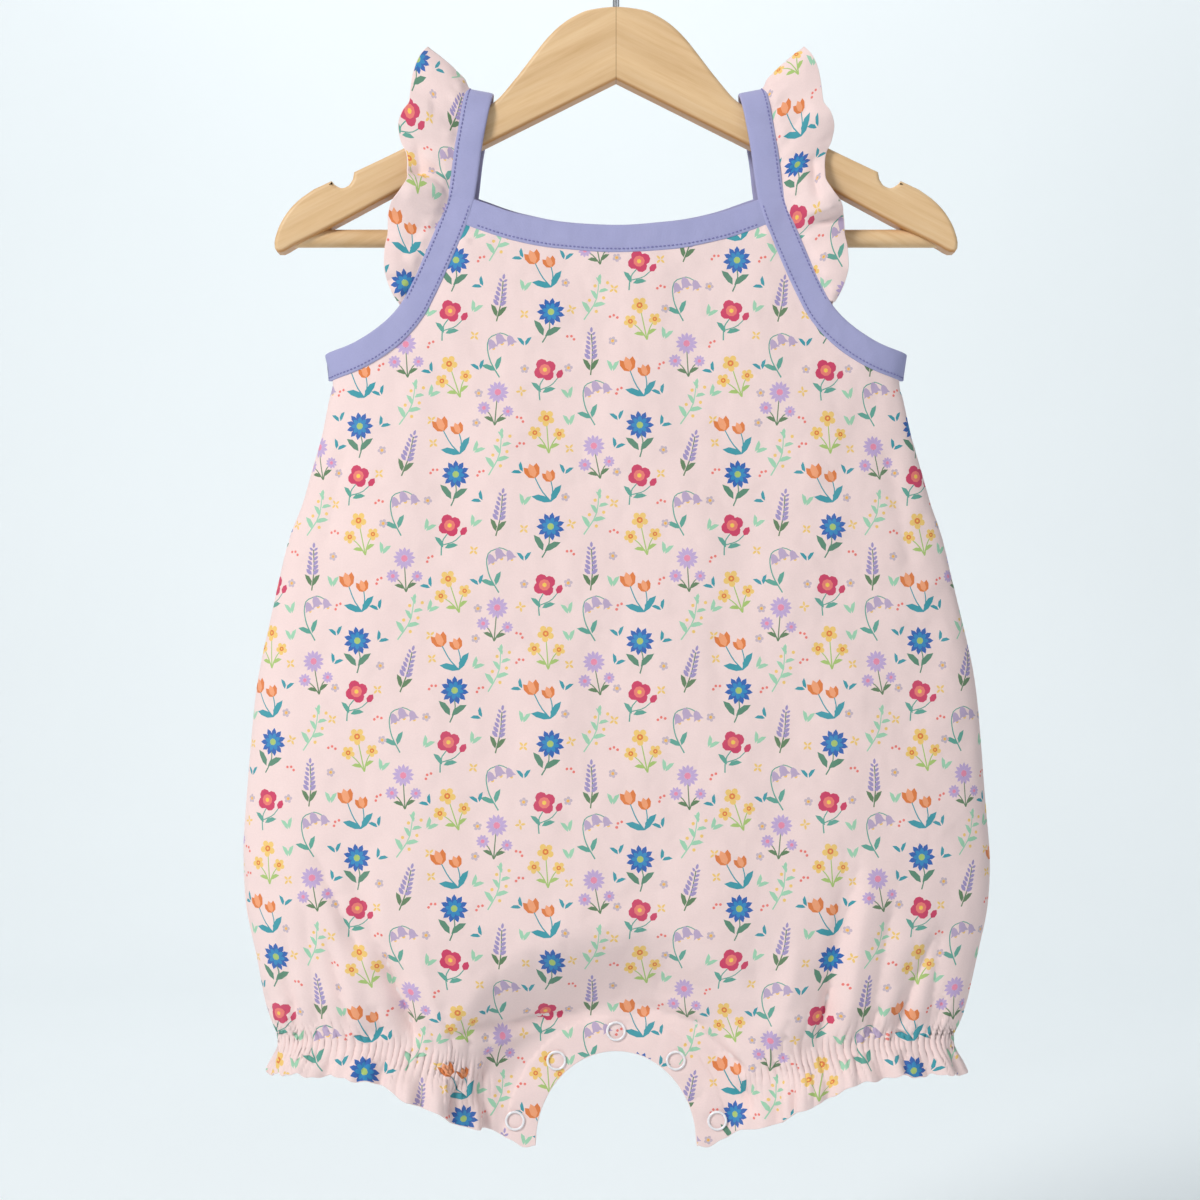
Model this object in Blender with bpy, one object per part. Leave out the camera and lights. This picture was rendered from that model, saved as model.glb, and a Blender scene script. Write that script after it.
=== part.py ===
"""A baby's bubble romper on a small wooden hanger, at its real size.

The origin is where a rail would touch the inside of the hook. +Z is up and the front faces -Y.
Sizes in the tables are in millimetres. "drop" is the distance below the top of the hanger's wood.
The garment is one hollow: its walls are worked out from a half width and a half depth at each drop.
"""

import bmesh
import bpy
import numpy as np

MM = 0.001


def table(columns, *rows):
    """Rows of numbers as one array for each named column."""
    return dict(zip(columns.split(), np.array(rows, float).T))


# ---- driving dimensions, in millimetres ----
HOOK_RISE = 55.0  # from the rail down to the top of the wood
CLOTH = 1.5  # thickness of the body's cloth
BINDING_WIDTH = 12.0
BINDING_CLOTH = 2.0
SLEEVE_CLOTH = 1.2
SEAM_GAP = 0.7  # between the edges of two pieces that meet, so that their chords stay apart
SIDE_GAP = 0.3  # between the front and the back at the side seams
BOW = 2.4  # exponent of the superellipse that the hollow's cross-section follows

BODY_WIDTHS = table(
    "drop half_width",
    (150.0, 129.0),
    (153.6, 128.1),
    (159.5, 126.4),
    (165.8, 125.3),
    (173.7, 126.6),
    (188.8, 129.5),
    (204.3, 134.0),
    (218.5, 138.5),
    (234.9, 144.5),
    (255.1, 149.0),
    (275.5, 153.0),
    (295.8, 157.0),
    (316.2, 160.0),
    (336.4, 162.3),
    (356.8, 163.7),
    (374.0, 164.3),
    (394.3, 163.3),
    (414.7, 160.2),
    (430.8, 157.0),
    (447.2, 152.5),
    (455.4, 149.0),
    (471.6, 155.0),
)
BODY_DEPTHS = table(
    "drop half_depth",
    (47.0, 10.8),
    (92.0, 12.6),
    (130.0, 14.6),
    (160.0, 16.4),
    (200.0, 19.0),
    (250.0, 23.0),
    (300.0, 26.5),
    (350.0, 29.0),
    (390.0, 30.0),
    (430.0, 27.0),
    (455.0, 23.0),
    (480.0, 21.0),
)

# The snapped inner leg is a half ellipse cut out of the body's lower edge.
ARCH_CENTRE_DROP = 502.9
ARCH_HALF_WIDTH = 36.0
ARCH_HEIGHT = 42.0
PLACKET_DEPTH = 1.9  # from the middle of the garment to the middle of each snapped edge's cloth
PLACKET_FLAT = 15.0  # width of the snapped edge that stays flat
PLACKET_RISE = 42.0  # over which the hollow opens beside it

# The elastic and the hem of the front, from the snapped edge to the side seam.
ELASTIC_LINE = table(
    "half_x drop",
    (28.0, 482.0),
    (36.0, 481.5),
    (51.6, 475.6),
    (59.4, 471.9),
    (71.0, 466.4),
    (86.2, 462.3),
    (101.5, 458.0),
    (125.6, 453.7),
    (149.5, 454.3),
)
HEM_LINE = table(
    "half_x drop",
    (36.0, 502.5),
    (39.9, 503.4),
    (46.5, 499.9),
    (58.3, 495.2),
    (68.0, 491.6),
    (77.9, 485.9),
    (87.7, 481.2),
    (97.7, 475.2),
    (109.8, 471.4),
    (117.9, 469.7),
    (147.2, 469.7),
    (155.0, 471.0),
)
ELASTIC_TO_ARCH = 7.0  # least distance between the elastic's level and the arch's edge
PINCH_SHARE = 0.18  # of the hollow's depth, taken in by the elastic
PINCH_REACH = 10.0
HEM_FLARE = 3.0
RUFFLE_DROP = 16.0

# Gathers along the elastic, and the larger waves of the ruffle below it, on each side of each panel.
GATHERS = 20
GATHER_HEIGHT = 0.75
GATHER_REACH = 11.0  # how far above the elastic they fade
GATHER_AT_HEM = 0.3  # share of their height that is left at the hem
RUFFLE_WAVES = 6.5
RUFFLE_HEIGHT = 2.2
GATHERS_START = 50.0  # distance from the middle where the gathering begins
GATHERS_BLEND = 12.0

# The largest folds of the front: soft troughs and ridges, each along a straight line.
FRONT_FOLDS = table(
    "x_top drop_top x_low drop_low height half_width",
    (-120.4, 362.0, -92.1, 451.8, -2.6, 5.0),
    (-137.8, 378.4, -130.7, 452.4, -1.9, 5.0),
    (-101.2, 385.6, -86.9, 451.8, -1.8, 4.5),
    (-108.0, 372.0, -84.0, 440.0, 1.6, 6.0),
    (-131.0, 366.0, -112.0, 448.0, 1.8, 6.0),
    (123.8, 373.8, 110.5, 451.7, -2.4, 5.0),
    (101.6, 355.8, 89.4, 451.8, -2.0, 5.0),
    (132.5, 400.8, 121.0, 456.7, -1.6, 4.5),
    (112.0, 366.0, 100.0, 446.0, 1.7, 6.0),
    (-114.9, 176.0, -129.0, 240.4, -1.5, 5.0),
    (116.0, 182.0, 130.0, 252.0, -1.2, 5.0),
)
BACK_FOLDS = table(
    "x_top drop_top x_low drop_low height half_width",
    (-126.0, 370.0, -102.0, 452.0, -2.3, 5.0),
    (-98.0, 352.0, -88.0, 450.0, -2.2, 5.0),
    (-112.0, 360.0, -95.0, 446.0, 1.7, 6.0),
    (117.0, 364.0, 96.0, 451.0, -2.6, 5.0),
    (138.0, 384.0, 127.0, 454.0, -1.8, 5.0),
    (127.0, 372.0, 112.0, 447.0, 1.7, 6.0),
    (98.0, 388.0, 84.0, 450.0, -1.6, 4.5),
    (-117.0, 182.0, -132.0, 246.0, -1.3, 5.0),
    (115.0, 178.0, 128.0, 238.0, -1.4, 5.0),
)

# Middle lines of the bindings, on the garment's right and left alike.
NECK_LINE = table(
    "half_x drop",
    (0.0, 103.6),
    (24.1, 102.1),
    (44.0, 98.4),
    (63.2, 92.1),
)
BACK_NECK_RISE = 4.0
BACK_NECK_TRIM = 1.5  # shorter at each end, because the straps lean inward as they rise
ARMHOLE_LINE = table(
    "half_x drop",
    (126.6, 158.9),
    (115.4, 155.2),
    (105.5, 150.0),
    (95.9, 142.5),
    (89.0, 134.2),
    (84.6, 125.7),
    (77.2, 109.6),
    (71.9, 96.8),
    (68.2, 85.7),
    (64.9, 62.8),
    (62.1, 47.2),
)
STRAP_RADIUS = 9.9  # of the strap's middle surface, where it folds over the hanger
STRAP_TILT = 0.2  # rise of the fold for each millimetre outward
STRAP_BLEND = 40.0  # below the fold, over which the strap reaches the body's depth

# The flutter sleeve's outer edge, from its lower end in front to its tip above the shoulder.
SLEEVE_EDGE = table(
    "half_x drop half_y",
    (95.8, 130.6, 11.6),
    (97.8, 126.9, 12.4),
    (99.9, 121.8, 14.0),
    (101.2, 114.9, 15.0),
    (101.0, 107.5, 13.0),
    (99.8, 100.2, 11.0),
    (99.7, 94.1, 12.0),
    (98.1, 88.4, 16.0),
    (94.2, 83.5, 19.0),
    (90.9, 76.9, 17.0),
    (91.1, 71.3, 12.0),
    (91.9, 65.4, 9.4),
    (94.3, 59.8, 9.4),
    (95.3, 53.9, 11.0),
    (93.6, 48.0, 13.0),
    (90.5, 43.2, 12.0),
    (89.8, 35.2, 9.0),
    (88.7, 27.9, 6.5),
    (86.2, 21.2, 4.0),
    (83.4, 17.0, 0.0),
)
SLEEVE_FULLNESS = 1.4  # how far the sleeve bows out between its two edges

# The snaps along the inner leg: the middle one, then one pair after the other.
SNAP_PLACES = table(
    "x drop",
    (-44.7, 491.9),
    (-26.4, 465.3),
    (0.0, 452.3),
    (26.4, 465.3),
    (44.7, 491.9),
)
SNAP_RING_OUTER = 4.45
SNAP_RING_INNER = 3.1
SNAP_RING_THICK = 1.0
SNAP_STUD_RADIUS = 4.0
SNAP_STUD_THICK = 1.6
SNAP_GAP = 0.42

# The hanger.
WOOD_THICKNESS = 13.0
WOOD_BEVEL = 1.6
WOOD_TOP = table(
    "half_x drop",
    (0.0, 0.0),
    (12.0, 1.2),
    (25.0, 7.5),
    (36.0, 21.0),
    (44.5, 31.5),
    (54.0, 42.2),
    (70.0, 49.8),
    (94.4, 62.8),
    (115.6, 73.0),
)
WOOD_NOTCH = table(
    "half_x drop",
    (116.2, 76.2),
    (118.2, 79.0),
    (121.0, 80.0),
    (123.8, 78.8),
    (125.6, 76.9),
)
WOOD_END = table(
    "half_x drop",
    (133.5, 80.6),
    (140.4, 85.6),
    (146.0, 92.0),
    (149.3, 98.4),
    (150.8, 104.6),
    (150.3, 107.6),
    (148.5, 108.6),
    (141.5, 105.2),
    (127.3, 98.2),
    (97.5, 82.3),
    (59.0, 61.8),
)
WOOD_FORK_DROP = 32.3  # of the point where the two arms meet below
CROWN_STEPS = 12
BAR_RADIUS = 4.0
BAR_DROP = 101.7
BAR_END = 142.5
BAR_HOLE_RADIUS = 4.4
BAR_HOLE_START = 122.0
BAR_HOLE_END = 143.0
HOOK_WIRE_RADIUS = 1.5
HOOK_RADIUS = 17.0
HOOK_END_ANGLE = 196.0
HOOK_NECK_ANGLE = -60.0
STEM_LENGTH_IN_WOOD = 11.7
STEM_HOLE_RADIUS = 1.8
STEM_HOLE_DEPTH = 12.0

# How finely the cloth is divided.
UPPER_SHARES = (
    0.0, 0.085, 0.17, 0.255, 0.34, 0.425, 0.54, 0.565, 0.595, 0.635,
    0.68, 0.735, 0.79, 0.85, 0.91, 0.96, 0.99, 1.0,
)  # of the half width
UPPER_ROWS = 10
GATHERED_HEIGHT = 42.0  # above the elastic, where the fine columns begin
ZIP_HEIGHT = 11.0  # of the strip of triangles that joins coarse columns to fine ones
FINE_ROWS = (-42.0, -27.0, -14.0, -6.0, 0.0)  # from the elastic
RUFFLE_ROWS = (0.5, 1.0)  # shares of the way from the elastic to the hem
ARCH_COLUMNS = 7
ARMHOLE_STATIONS = 80
NECK_STATIONS = 22
SLEEVE_COLUMNS = 50
SLEEVE_ROWS = 3
RING_SIDES = 14
STUD_SIDES = 16
BAR_SIDES = 20

FRONT, BACK = -1, 1
LEFT, RIGHT = -1, 1


# ---- curves and small helpers ----
def smooth_curve(places, values):
    """A function through the points with no overshoot, level past both ends."""
    order = np.argsort(places)
    xs, ys = np.asarray(places, float)[order], np.asarray(values, float)[order]
    steps = np.diff(xs)
    secants = np.diff(ys) / steps
    slopes = np.concatenate([secants[:1], np.zeros(len(xs) - 2), secants[-1:]])
    for i in range(1, len(xs) - 1):
        before, after = secants[i - 1], secants[i]
        if before * after > 0:
            far = 2 * steps[i] + steps[i - 1]
            near = steps[i] + 2 * steps[i - 1]
            slopes[i] = (far + near) / (far / before + near / after)

    def at(x):
        x = np.clip(np.asarray(x, float), xs[0], xs[-1])
        i = np.clip(np.searchsorted(xs, x, side="right") - 1, 0, len(xs) - 2)
        t = (x - xs[i]) / steps[i]
        rise = ys[i] * (1 + 2 * t) * (1 - t) ** 2 + ys[i + 1] * t**2 * (3 - 2 * t)
        return rise + steps[i] * (slopes[i] * t * (1 - t) ** 2 + slopes[i + 1] * t**2 * (t - 1))

    return at


def smoothstep(t):
    t = np.clip(t, 0.0, 1.0)
    return t * t * (3 - 2 * t)


def unit(vectors):
    return vectors / np.linalg.norm(vectors, axis=-1, keepdims=True)


def height(drop):
    return -(HOOK_RISE + drop)


def along(points):
    """Distance from the first point to each point, along the line through them."""
    return np.concatenate([[0.0], np.cumsum(np.linalg.norm(np.diff(points, axis=0), axis=1))])


def resampled(points, places):
    """Points at these shares of the line's length."""
    length = along(points)
    return np.stack([np.interp(places * length[-1], length, c) for c in points.T], axis=1)


half_width_at = smooth_curve(BODY_WIDTHS["drop"], BODY_WIDTHS["half_width"])
half_depth_at = smooth_curve(BODY_DEPTHS["drop"], BODY_DEPTHS["half_depth"])
elastic_drop_at = smooth_curve(ELASTIC_LINE["half_x"], ELASTIC_LINE["drop"])
hem_drop_at = smooth_curve(HEM_LINE["half_x"], HEM_LINE["drop"])


# ---- the garment's form ----
def angle_of(x, drop):
    """The angle round the hollow, 0 in the middle and a right angle at the side seam."""
    share = np.clip(np.abs(x) / half_width_at(drop), 0.0, 1.0)
    return np.sign(x) * np.arcsin(share ** (BOW / 2))


def arch_distance(x, drop):
    """How far a point of the body is from the edge of the snapped arch."""
    up = np.maximum(ARCH_CENTRE_DROP - drop, 0.0) / ARCH_HEIGHT
    mean_radius = (ARCH_HALF_WIDTH + ARCH_HEIGHT) / 2
    return (np.hypot(x / ARCH_HALF_WIDTH, up) - 1) * mean_radius


def skin_point(angle, drop, face):
    """The middle of the cloth, without folds, at an angle round the hollow and a drop."""
    x = half_width_at(drop) * np.sign(angle) * np.abs(np.sin(angle)) ** (2 / BOW)
    bow = np.abs(np.cos(angle)) ** (2 / BOW)
    past_elastic = drop - elastic_drop_at(np.abs(x))
    pinch = 1 - PINCH_SHARE * np.exp(-((past_elastic / PINCH_REACH) ** 2))
    flare = HEM_FLARE * smoothstep(past_elastic / RUFFLE_DROP)
    depth = (half_depth_at(drop) * pinch + flare) * bow
    opened = smoothstep((arch_distance(x, drop) - PLACKET_FLAT) / PLACKET_RISE)
    depth = PLACKET_DEPTH + (depth - PLACKET_DEPTH) * opened
    strap_share = smoothstep((drop - ARMHOLE_LINE["drop"][-1]) / STRAP_BLEND)
    depth = STRAP_RADIUS + (depth - STRAP_RADIUS) * strap_share
    return np.stack([x, face * np.maximum(depth, SIDE_GAP / 2), height(drop)], axis=-1)


def skin_normal(angle, drop, face):
    """Outward direction of the unfolded cloth."""
    turn, fall = 0.01, 0.05
    ahead = np.minimum(angle + turn, np.pi / 2)
    behind = np.maximum(angle - turn, -np.pi / 2)
    across = skin_point(ahead, drop, face) - skin_point(behind, drop, face)
    down = skin_point(angle, drop + fall, face) - skin_point(angle, drop - fall, face)
    outward = face * unit(np.cross(across, down))
    at_seam = np.abs(angle) > np.pi / 2 - 1e-6
    outward[..., 1] = np.where(at_seam, 0.0, outward[..., 1])
    return unit(outward)


# ---- the lower edge, as drops for each angle ----
def edge_of_arch_and_hem():
    """Angles and drops along the body's lower edge, from its middle to the side seam."""
    turn = np.linspace(0, np.pi / 2, 60)
    arch_x = ARCH_HALF_WIDTH * np.sin(turn)
    arch_drop = ARCH_CENTRE_DROP - ARCH_HEIGHT * np.cos(turn)
    hem_x = half_width_at(500.0) * np.sin(np.linspace(0.2, np.pi / 2, 400))
    hem_x = hem_x[hem_x > ARCH_HALF_WIDTH]
    x = np.concatenate([arch_x, hem_x])
    drop = np.concatenate([arch_drop, hem_drop_at(hem_x)])
    return angle_of(x, drop), drop


EDGE_ANGLES, EDGE_DROPS = edge_of_arch_and_hem()
CORNER_ANGLE = EDGE_ANGLES[59]


def edge_drop(angle):
    return np.interp(np.abs(angle), EDGE_ANGLES, EDGE_DROPS)


def elastic_drop(angle):
    """The elastic's level at an angle, kept a little above the arch."""
    drop = np.full(np.shape(angle), 460.0)
    for _ in range(6):
        share = np.abs(np.sin(angle)) ** (2 / BOW)
        drop = elastic_drop_at(half_width_at(drop) * share)
    return np.minimum(drop, edge_drop(angle) - ELASTIC_TO_ARCH)


def hem_shares():
    """Angles along the hem and the share of its length from the arch's corner to the side."""
    angles = np.linspace(CORNER_ANGLE, np.pi / 2, 500)
    length = along(skin_point(angles, edge_drop(angles), FRONT))
    return angles, length / length[-1]


HEM_ANGLES, HEM_SHARES = hem_shares()


def zigzag(turns):
    """A wave of straight slopes between -1 and 1, at 1 where turns is whole."""
    return 4 * np.abs(turns - np.floor(turns) - 0.5) - 1


def gather_height(angle, drop, face):
    """How far the gathers and the ruffle lift the cloth."""
    share = np.interp(np.abs(angle), HEM_ANGLES, HEM_SHARES)
    past = drop - elastic_drop(angle)
    ruffle_drop = np.maximum(edge_drop(angle) - elastic_drop(angle), 1.0)
    down = np.clip(past / ruffle_drop, 0.0, 1.0)
    fade = np.exp(-((np.minimum(past, 0.0) / GATHER_REACH) ** 2)) * (1 - (1 - GATHER_AT_HEM) * down)
    uneven = 0.85 + 0.15 * np.sin(11 * share + 2 * np.sign(angle) + face)
    gather = GATHER_HEIGHT * uneven * fade * zigzag(GATHERS * share)
    phase = RUFFLE_WAVES * share + 0.35 * np.sin(5 * share + np.sign(angle)) + 0.25 * face
    ruffle = RUFFLE_HEIGHT * smoothstep(down) * np.sin(2 * np.pi * phase)
    x = np.abs(skin_point(angle, drop, face)[..., 0])
    return (gather + ruffle) * smoothstep((x - GATHERS_START) / GATHERS_BLEND)


def fold_height(points, face):
    """How far the folds lift the cloth at these points."""
    folds = FRONT_FOLDS if face == FRONT else BACK_FOLDS
    x, drop = points[..., 0], -points[..., 2] - HOOK_RISE
    total = np.zeros(x.shape)
    for i in range(len(folds["x_top"])):
        start = np.array([folds["x_top"][i], folds["drop_top"][i]])
        run = np.array([folds["x_low"][i], folds["drop_low"][i]]) - start
        length = np.hypot(*run)
        way = ((x - start[0]) * run[0] + (drop - start[1]) * run[1]) / length**2
        apart = ((x - start[0]) * run[1] - (drop - start[1]) * run[0]) / length
        ends = smoothstep(way / 0.45) * smoothstep((1.12 - way) / 0.25)
        total += folds["height"][i] * ends * np.exp(-((apart / folds["half_width"][i]) ** 2))
    return total


def cloth_point(angle, drop, face):
    """The middle of the body's cloth with its gathers, ruffle and folds, and its outward side."""
    flat = skin_point(angle, drop, face)
    outward = skin_normal(angle, drop, face)
    lift = gather_height(angle, drop, face) + fold_height(flat, face)
    lifted = flat + outward * lift[..., None]
    lifted[..., 1] = face * np.maximum(face * lifted[..., 1], SIDE_GAP / 2)
    return lifted, outward


# ---- solids ----
def principled(name, colour, roughness, metallic=0.0):
    material = bpy.data.materials.new(name)
    material.use_nodes = True
    shader = material.node_tree.nodes["Principled BSDF"]
    shader.inputs["Base Color"].default_value = (*colour, 1.0)
    shader.inputs["Roughness"].default_value = roughness
    shader.inputs["Metallic"].default_value = metallic
    return material


def add_solid(name, points, faces, material, smooth_angle=0.6):
    """An object from points in millimetres, with its faces turned outward."""
    shape = bmesh.new()
    corners = [shape.verts.new(p) for p in np.asarray(points) * MM]
    for face in faces:
        shape.faces.new([corners[i] for i in face])
    bmesh.ops.recalc_face_normals(shape, faces=shape.faces)
    mesh = bpy.data.meshes.new(name)
    shape.to_mesh(mesh)
    shape.free()
    mesh.materials.append(material)
    mesh.shade_smooth()
    mesh.set_sharp_from_angle(angle=smooth_angle)
    solid = bpy.data.objects.new(name, mesh)
    bpy.context.collection.objects.link(solid)
    return solid


def add_wall(name, middle, outward, patches, thickness, material):
    """A sheet of cloth with a thickness: two copies of the patches, joined round their edges."""
    count = len(middle)
    points = np.concatenate([middle + outward * thickness / 2, middle - outward * thickness / 2])
    faces = [tuple(patch) for patch in patches]
    faces += [tuple(i + count for i in reversed(patch)) for patch in patches]
    edges = {}
    for patch in patches:
        for a, b in zip(patch, (*patch[1:], patch[0])):
            edges[frozenset((a, b))] = None if frozenset((a, b)) in edges else (a, b)
    for rim in filter(None, edges.values()):
        a, b = rim
        faces.append((b, a, a + count, b + count))
    return add_solid(name, points, faces, material)


def grid_patches(row_count, column_count, first=0):
    """Squares between neighbouring points of a grid stored row by row."""
    patches = []
    for row in range(row_count - 1):
        for column in range(column_count - 1):
            a = first + row * column_count + column
            patches.append((a, a + column_count, a + column_count + 1, a + 1))
    return patches


def zip_patches(upper, lower, first_upper, first_lower):
    """Triangles between two rows whose columns lie at different angles."""
    patches = []
    i = j = 0
    while i < len(upper) - 1 or j < len(lower) - 1:
        step_upper = j == len(lower) - 1 or (i < len(upper) - 1 and upper[i + 1] <= lower[j + 1])
        if step_upper:
            patches.append((first_upper + i, first_lower + j, first_upper + i + 1))
            i += 1
        else:
            patches.append((first_upper + i, first_lower + j, first_lower + j + 1))
            j += 1
    return patches


def mirrored(values):
    """Values for both halves from those of one half, whose first value lies in the middle."""
    return np.concatenate([-np.asarray(values)[:0:-1], values])


# ---- bindings ----
def armhole_route():
    """Middle line of the front half of the right armhole's binding, from the side seam to the
    strap's fold, with its outward directions."""
    points = np.stack([ARMHOLE_LINE["half_x"], ARMHOLE_LINE["drop"]], axis=1)
    length = along(points)
    share = np.linspace(0, 1, 500) ** 2 * length[-1]
    x = smooth_curve(length, points[:, 0])(share)
    drop = smooth_curve(length, points[:, 1])(share)
    angle = angle_of(x, drop)
    angle[0] = np.pi / 2
    route = skin_point(angle, drop, FRONT)
    outward = skin_normal(angle, drop, FRONT)
    turn = np.linspace(0, np.pi / 2, 40)[1:, None]
    across = unit(np.array([-STRAP_TILT, 0.0, 1.0]))
    centre = route[-1] - np.array([0.0, route[-1, 1], 0.0])
    cap_outward = np.cos(turn) * np.array([0.0, -1.0, 0.0]) + np.sin(turn) * across
    cap = centre + STRAP_RADIUS * cap_outward
    return np.concatenate([route, cap]), np.concatenate([outward, cap_outward])


def armhole_stations(side):
    """Closed ring of places, outward directions and directions across the binding."""
    route, outward = armhole_route()
    shares = np.arange(ARMHOLE_STATIONS // 2 + 1) / (ARMHOLE_STATIONS // 2)
    both = resampled(np.concatenate([route, outward], axis=1)[:, :3], shares)
    length = along(route)
    facing = np.stack([np.interp(shares * length[-1], length, c) for c in outward.T], axis=1)
    places = np.concatenate([both, (both * (1, -1, 1))[-2:0:-1]])
    facing = np.concatenate([facing, (facing * (1, -1, 1))[-2:0:-1]])
    places[0, 1] = 0.0
    facing[0] = (1.0, 0.0, 0.0)
    heading = unit(np.roll(places, -1, axis=0) - np.roll(places, 1, axis=0))
    across = unit(np.cross(heading, unit(facing)))
    facing = unit(np.cross(across, heading))
    flip = np.array([side, 1, 1])
    return places * flip, facing * flip, across * flip


def neck_stations(face):
    """Places, outward directions and directions across the neck's binding, from left to right."""
    half_x = mirrored(NECK_LINE["half_x"])
    drops = np.concatenate([NECK_LINE["drop"][:0:-1], NECK_LINE["drop"]])
    end = half_x[-1]
    rise = 0.0
    if face == BACK:
        end -= BACK_NECK_TRIM
        rise = BACK_NECK_RISE
    x = np.linspace(-end, end, NECK_STATIONS)
    drop = smooth_curve(half_x, drops)(x) - rise
    angle = angle_of(x, drop)
    places = skin_point(angle, drop, face)
    heading = unit(np.gradient(places, axis=0))
    across = unit(np.cross(heading, skin_normal(angle, drop, face))) * -face
    return places, face * unit(np.cross(heading, across)), across


def add_band(name, places, facing, across, closed, material):
    """A binding: a flat strip swept along its places."""
    half_width, half_cloth = BINDING_WIDTH / 2, BINDING_CLOTH / 2
    corners = [(1, 1), (1, -1), (-1, -1), (-1, 1)]
    rings = [places + across * w * half_width + facing * t * half_cloth for w, t in corners]
    points = np.stack(rings, axis=1).reshape(-1, 3)
    count = len(places)
    faces = []
    for i in range(count if closed else count - 1):
        here, there = 4 * i, 4 * ((i + 1) % count)
        faces += [(here + k, here + (k + 1) % 4, there + (k + 1) % 4, there + k) for k in range(4)]
    if not closed:
        faces += [(0, 1, 2, 3), tuple(4 * (count - 1) + k for k in (3, 2, 1, 0))]
    return add_solid(name, points, faces, material)


# ---- body panels ----
def top_edge(face):
    """Angles and drops of the panel's upper edge on its right half, just clear of the bindings."""
    reach = BINDING_WIDTH / 2 + SEAM_GAP
    places, _, across = neck_stations(face)
    neck = places + across * reach
    neck = neck[neck[:, 0] > -1.0]
    places, _, across = armhole_stations(RIGHT)
    half = ARMHOLE_STATIONS // 2
    chosen = np.arange(0, half + 1) if face == FRONT else np.arange(half, 2 * half + 1) % (2 * half)
    arm = (places - across * reach)[chosen]
    arm = arm[arm[:, 2] < height(80.0)]
    arm = arm[np.argsort(arm[:, 0])]
    angles = np.linspace(0, np.pi / 2, 600)
    neck_drop = -neck[:, 2] - HOOK_RISE
    arm_drop = -arm[:, 2] - HOOK_RISE
    neck_angles = angle_of(np.maximum(neck[:, 0], 0.0), neck_drop)
    arm_angles = angle_of(arm[:, 0], arm_drop)
    arm_angles[-1] = np.pi / 2
    by_neck = np.interp(angles, neck_angles, neck_drop, right=0.0)
    by_arm = np.interp(angles, arm_angles, arm_drop, left=0.0)
    drops = np.maximum(by_neck, by_arm)
    corner = angles[np.argmax(by_arm > by_neck)]
    return angles, drops, corner


def panel_columns(corner):
    """Angles of the coarse and the fine columns, both from left to right."""
    upper = np.arcsin(np.array(UPPER_SHARES) ** (BOW / 2))
    upper = np.sort(np.append(upper, corner))
    turn = np.linspace(0, np.pi / 2, ARCH_COLUMNS + 1)[:-1]
    arch_x = ARCH_HALF_WIDTH * np.sin(turn)
    arch = angle_of(arch_x, ARCH_CENTRE_DROP - ARCH_HEIGHT * np.cos(turn))
    hem = np.interp(np.linspace(0, 1, 2 * GATHERS + 1), HEM_SHARES, HEM_ANGLES)
    return mirrored(upper), mirrored(np.concatenate([arch, hem]))


def add_panel(name, face, material):
    """The front or the back: one piece of cloth from the bindings down to the ruffled hem."""
    edge_angles, edge_drops, corner = top_edge(face)
    upper, fine = panel_columns(corner)
    top = np.interp(np.abs(upper), edge_angles, edge_drops)
    low = elastic_drop(upper) - GATHERED_HEIGHT - ZIP_HEIGHT
    rows = [(upper, top + (low - top) * k / UPPER_ROWS) for k in range(UPPER_ROWS + 1)]
    line, edge = elastic_drop(fine), edge_drop(fine)
    rows += [(fine, line + step) for step in FINE_ROWS]
    rows += [(fine, line + (edge - line) * share) for share in RUFFLE_ROWS]
    angles = np.concatenate([row[0] for row in rows])
    drops = np.concatenate([row[1] for row in rows])
    middle, outward = cloth_point(angles, drops, face)
    first_fine = len(upper) * (UPPER_ROWS + 1)
    patches = grid_patches(UPPER_ROWS + 1, len(upper))
    patches += zip_patches(upper, fine, first_fine - len(upper), first_fine)
    patches += grid_patches(len(FINE_ROWS) + len(RUFFLE_ROWS), len(fine), first_fine)
    return add_wall(name, middle, outward, patches, CLOTH, material)


# ---- flutter sleeves ----
def sleeve_edges(side):
    """The sewn edge beside the strap and the free outer edge, both from front to back."""
    places, _, across = armhole_stations(side)
    sewn = places + across * (BINDING_WIDTH / 2 + SEAM_GAP)
    half = ARMHOLE_STATIONS // 2
    lowest = np.argmin(np.abs(sewn[:half, 2] - height(SLEEVE_EDGE["drop"][0])))
    sewn = sewn[lowest : half + 1]
    front = np.stack(
        [side * SLEEVE_EDGE["half_x"], -SLEEVE_EDGE["half_y"], height(SLEEVE_EDGE["drop"])], axis=1
    )
    shares = np.linspace(0, 1, SLEEVE_COLUMNS // 2 + 1)
    fine = np.linspace(0, 1, 300) * along(front)[-1]
    free = np.stack([smooth_curve(along(front), c)(fine) for c in front.T], axis=1)
    sewn, free = resampled(sewn, shares), resampled(free, shares)
    to_back = np.array([1, -1, 1])
    return [np.concatenate([e, (e * to_back)[-2::-1]]) for e in (sewn, free)]


def add_sleeve(name, side, material):
    """A flutter sleeve, open below, standing out from the strap."""
    sewn, free = sleeve_edges(side)
    shares = np.linspace(0, 1, SLEEVE_ROWS + 1)[:, None, None]
    grid = sewn + (free - sewn) * shares
    outward = np.cross(np.gradient(grid, axis=0), np.gradient(grid, axis=1))
    outward = unit(outward) * side
    grid = grid + outward * SLEEVE_FULLNESS * 4 * shares * (1 - shares)
    patches = grid_patches(SLEEVE_ROWS + 1, grid.shape[1])
    middle, outward = grid.reshape(-1, 3), outward.reshape(-1, 3)
    return add_wall(name, middle, outward, patches, SLEEVE_CLOTH, material)


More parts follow.
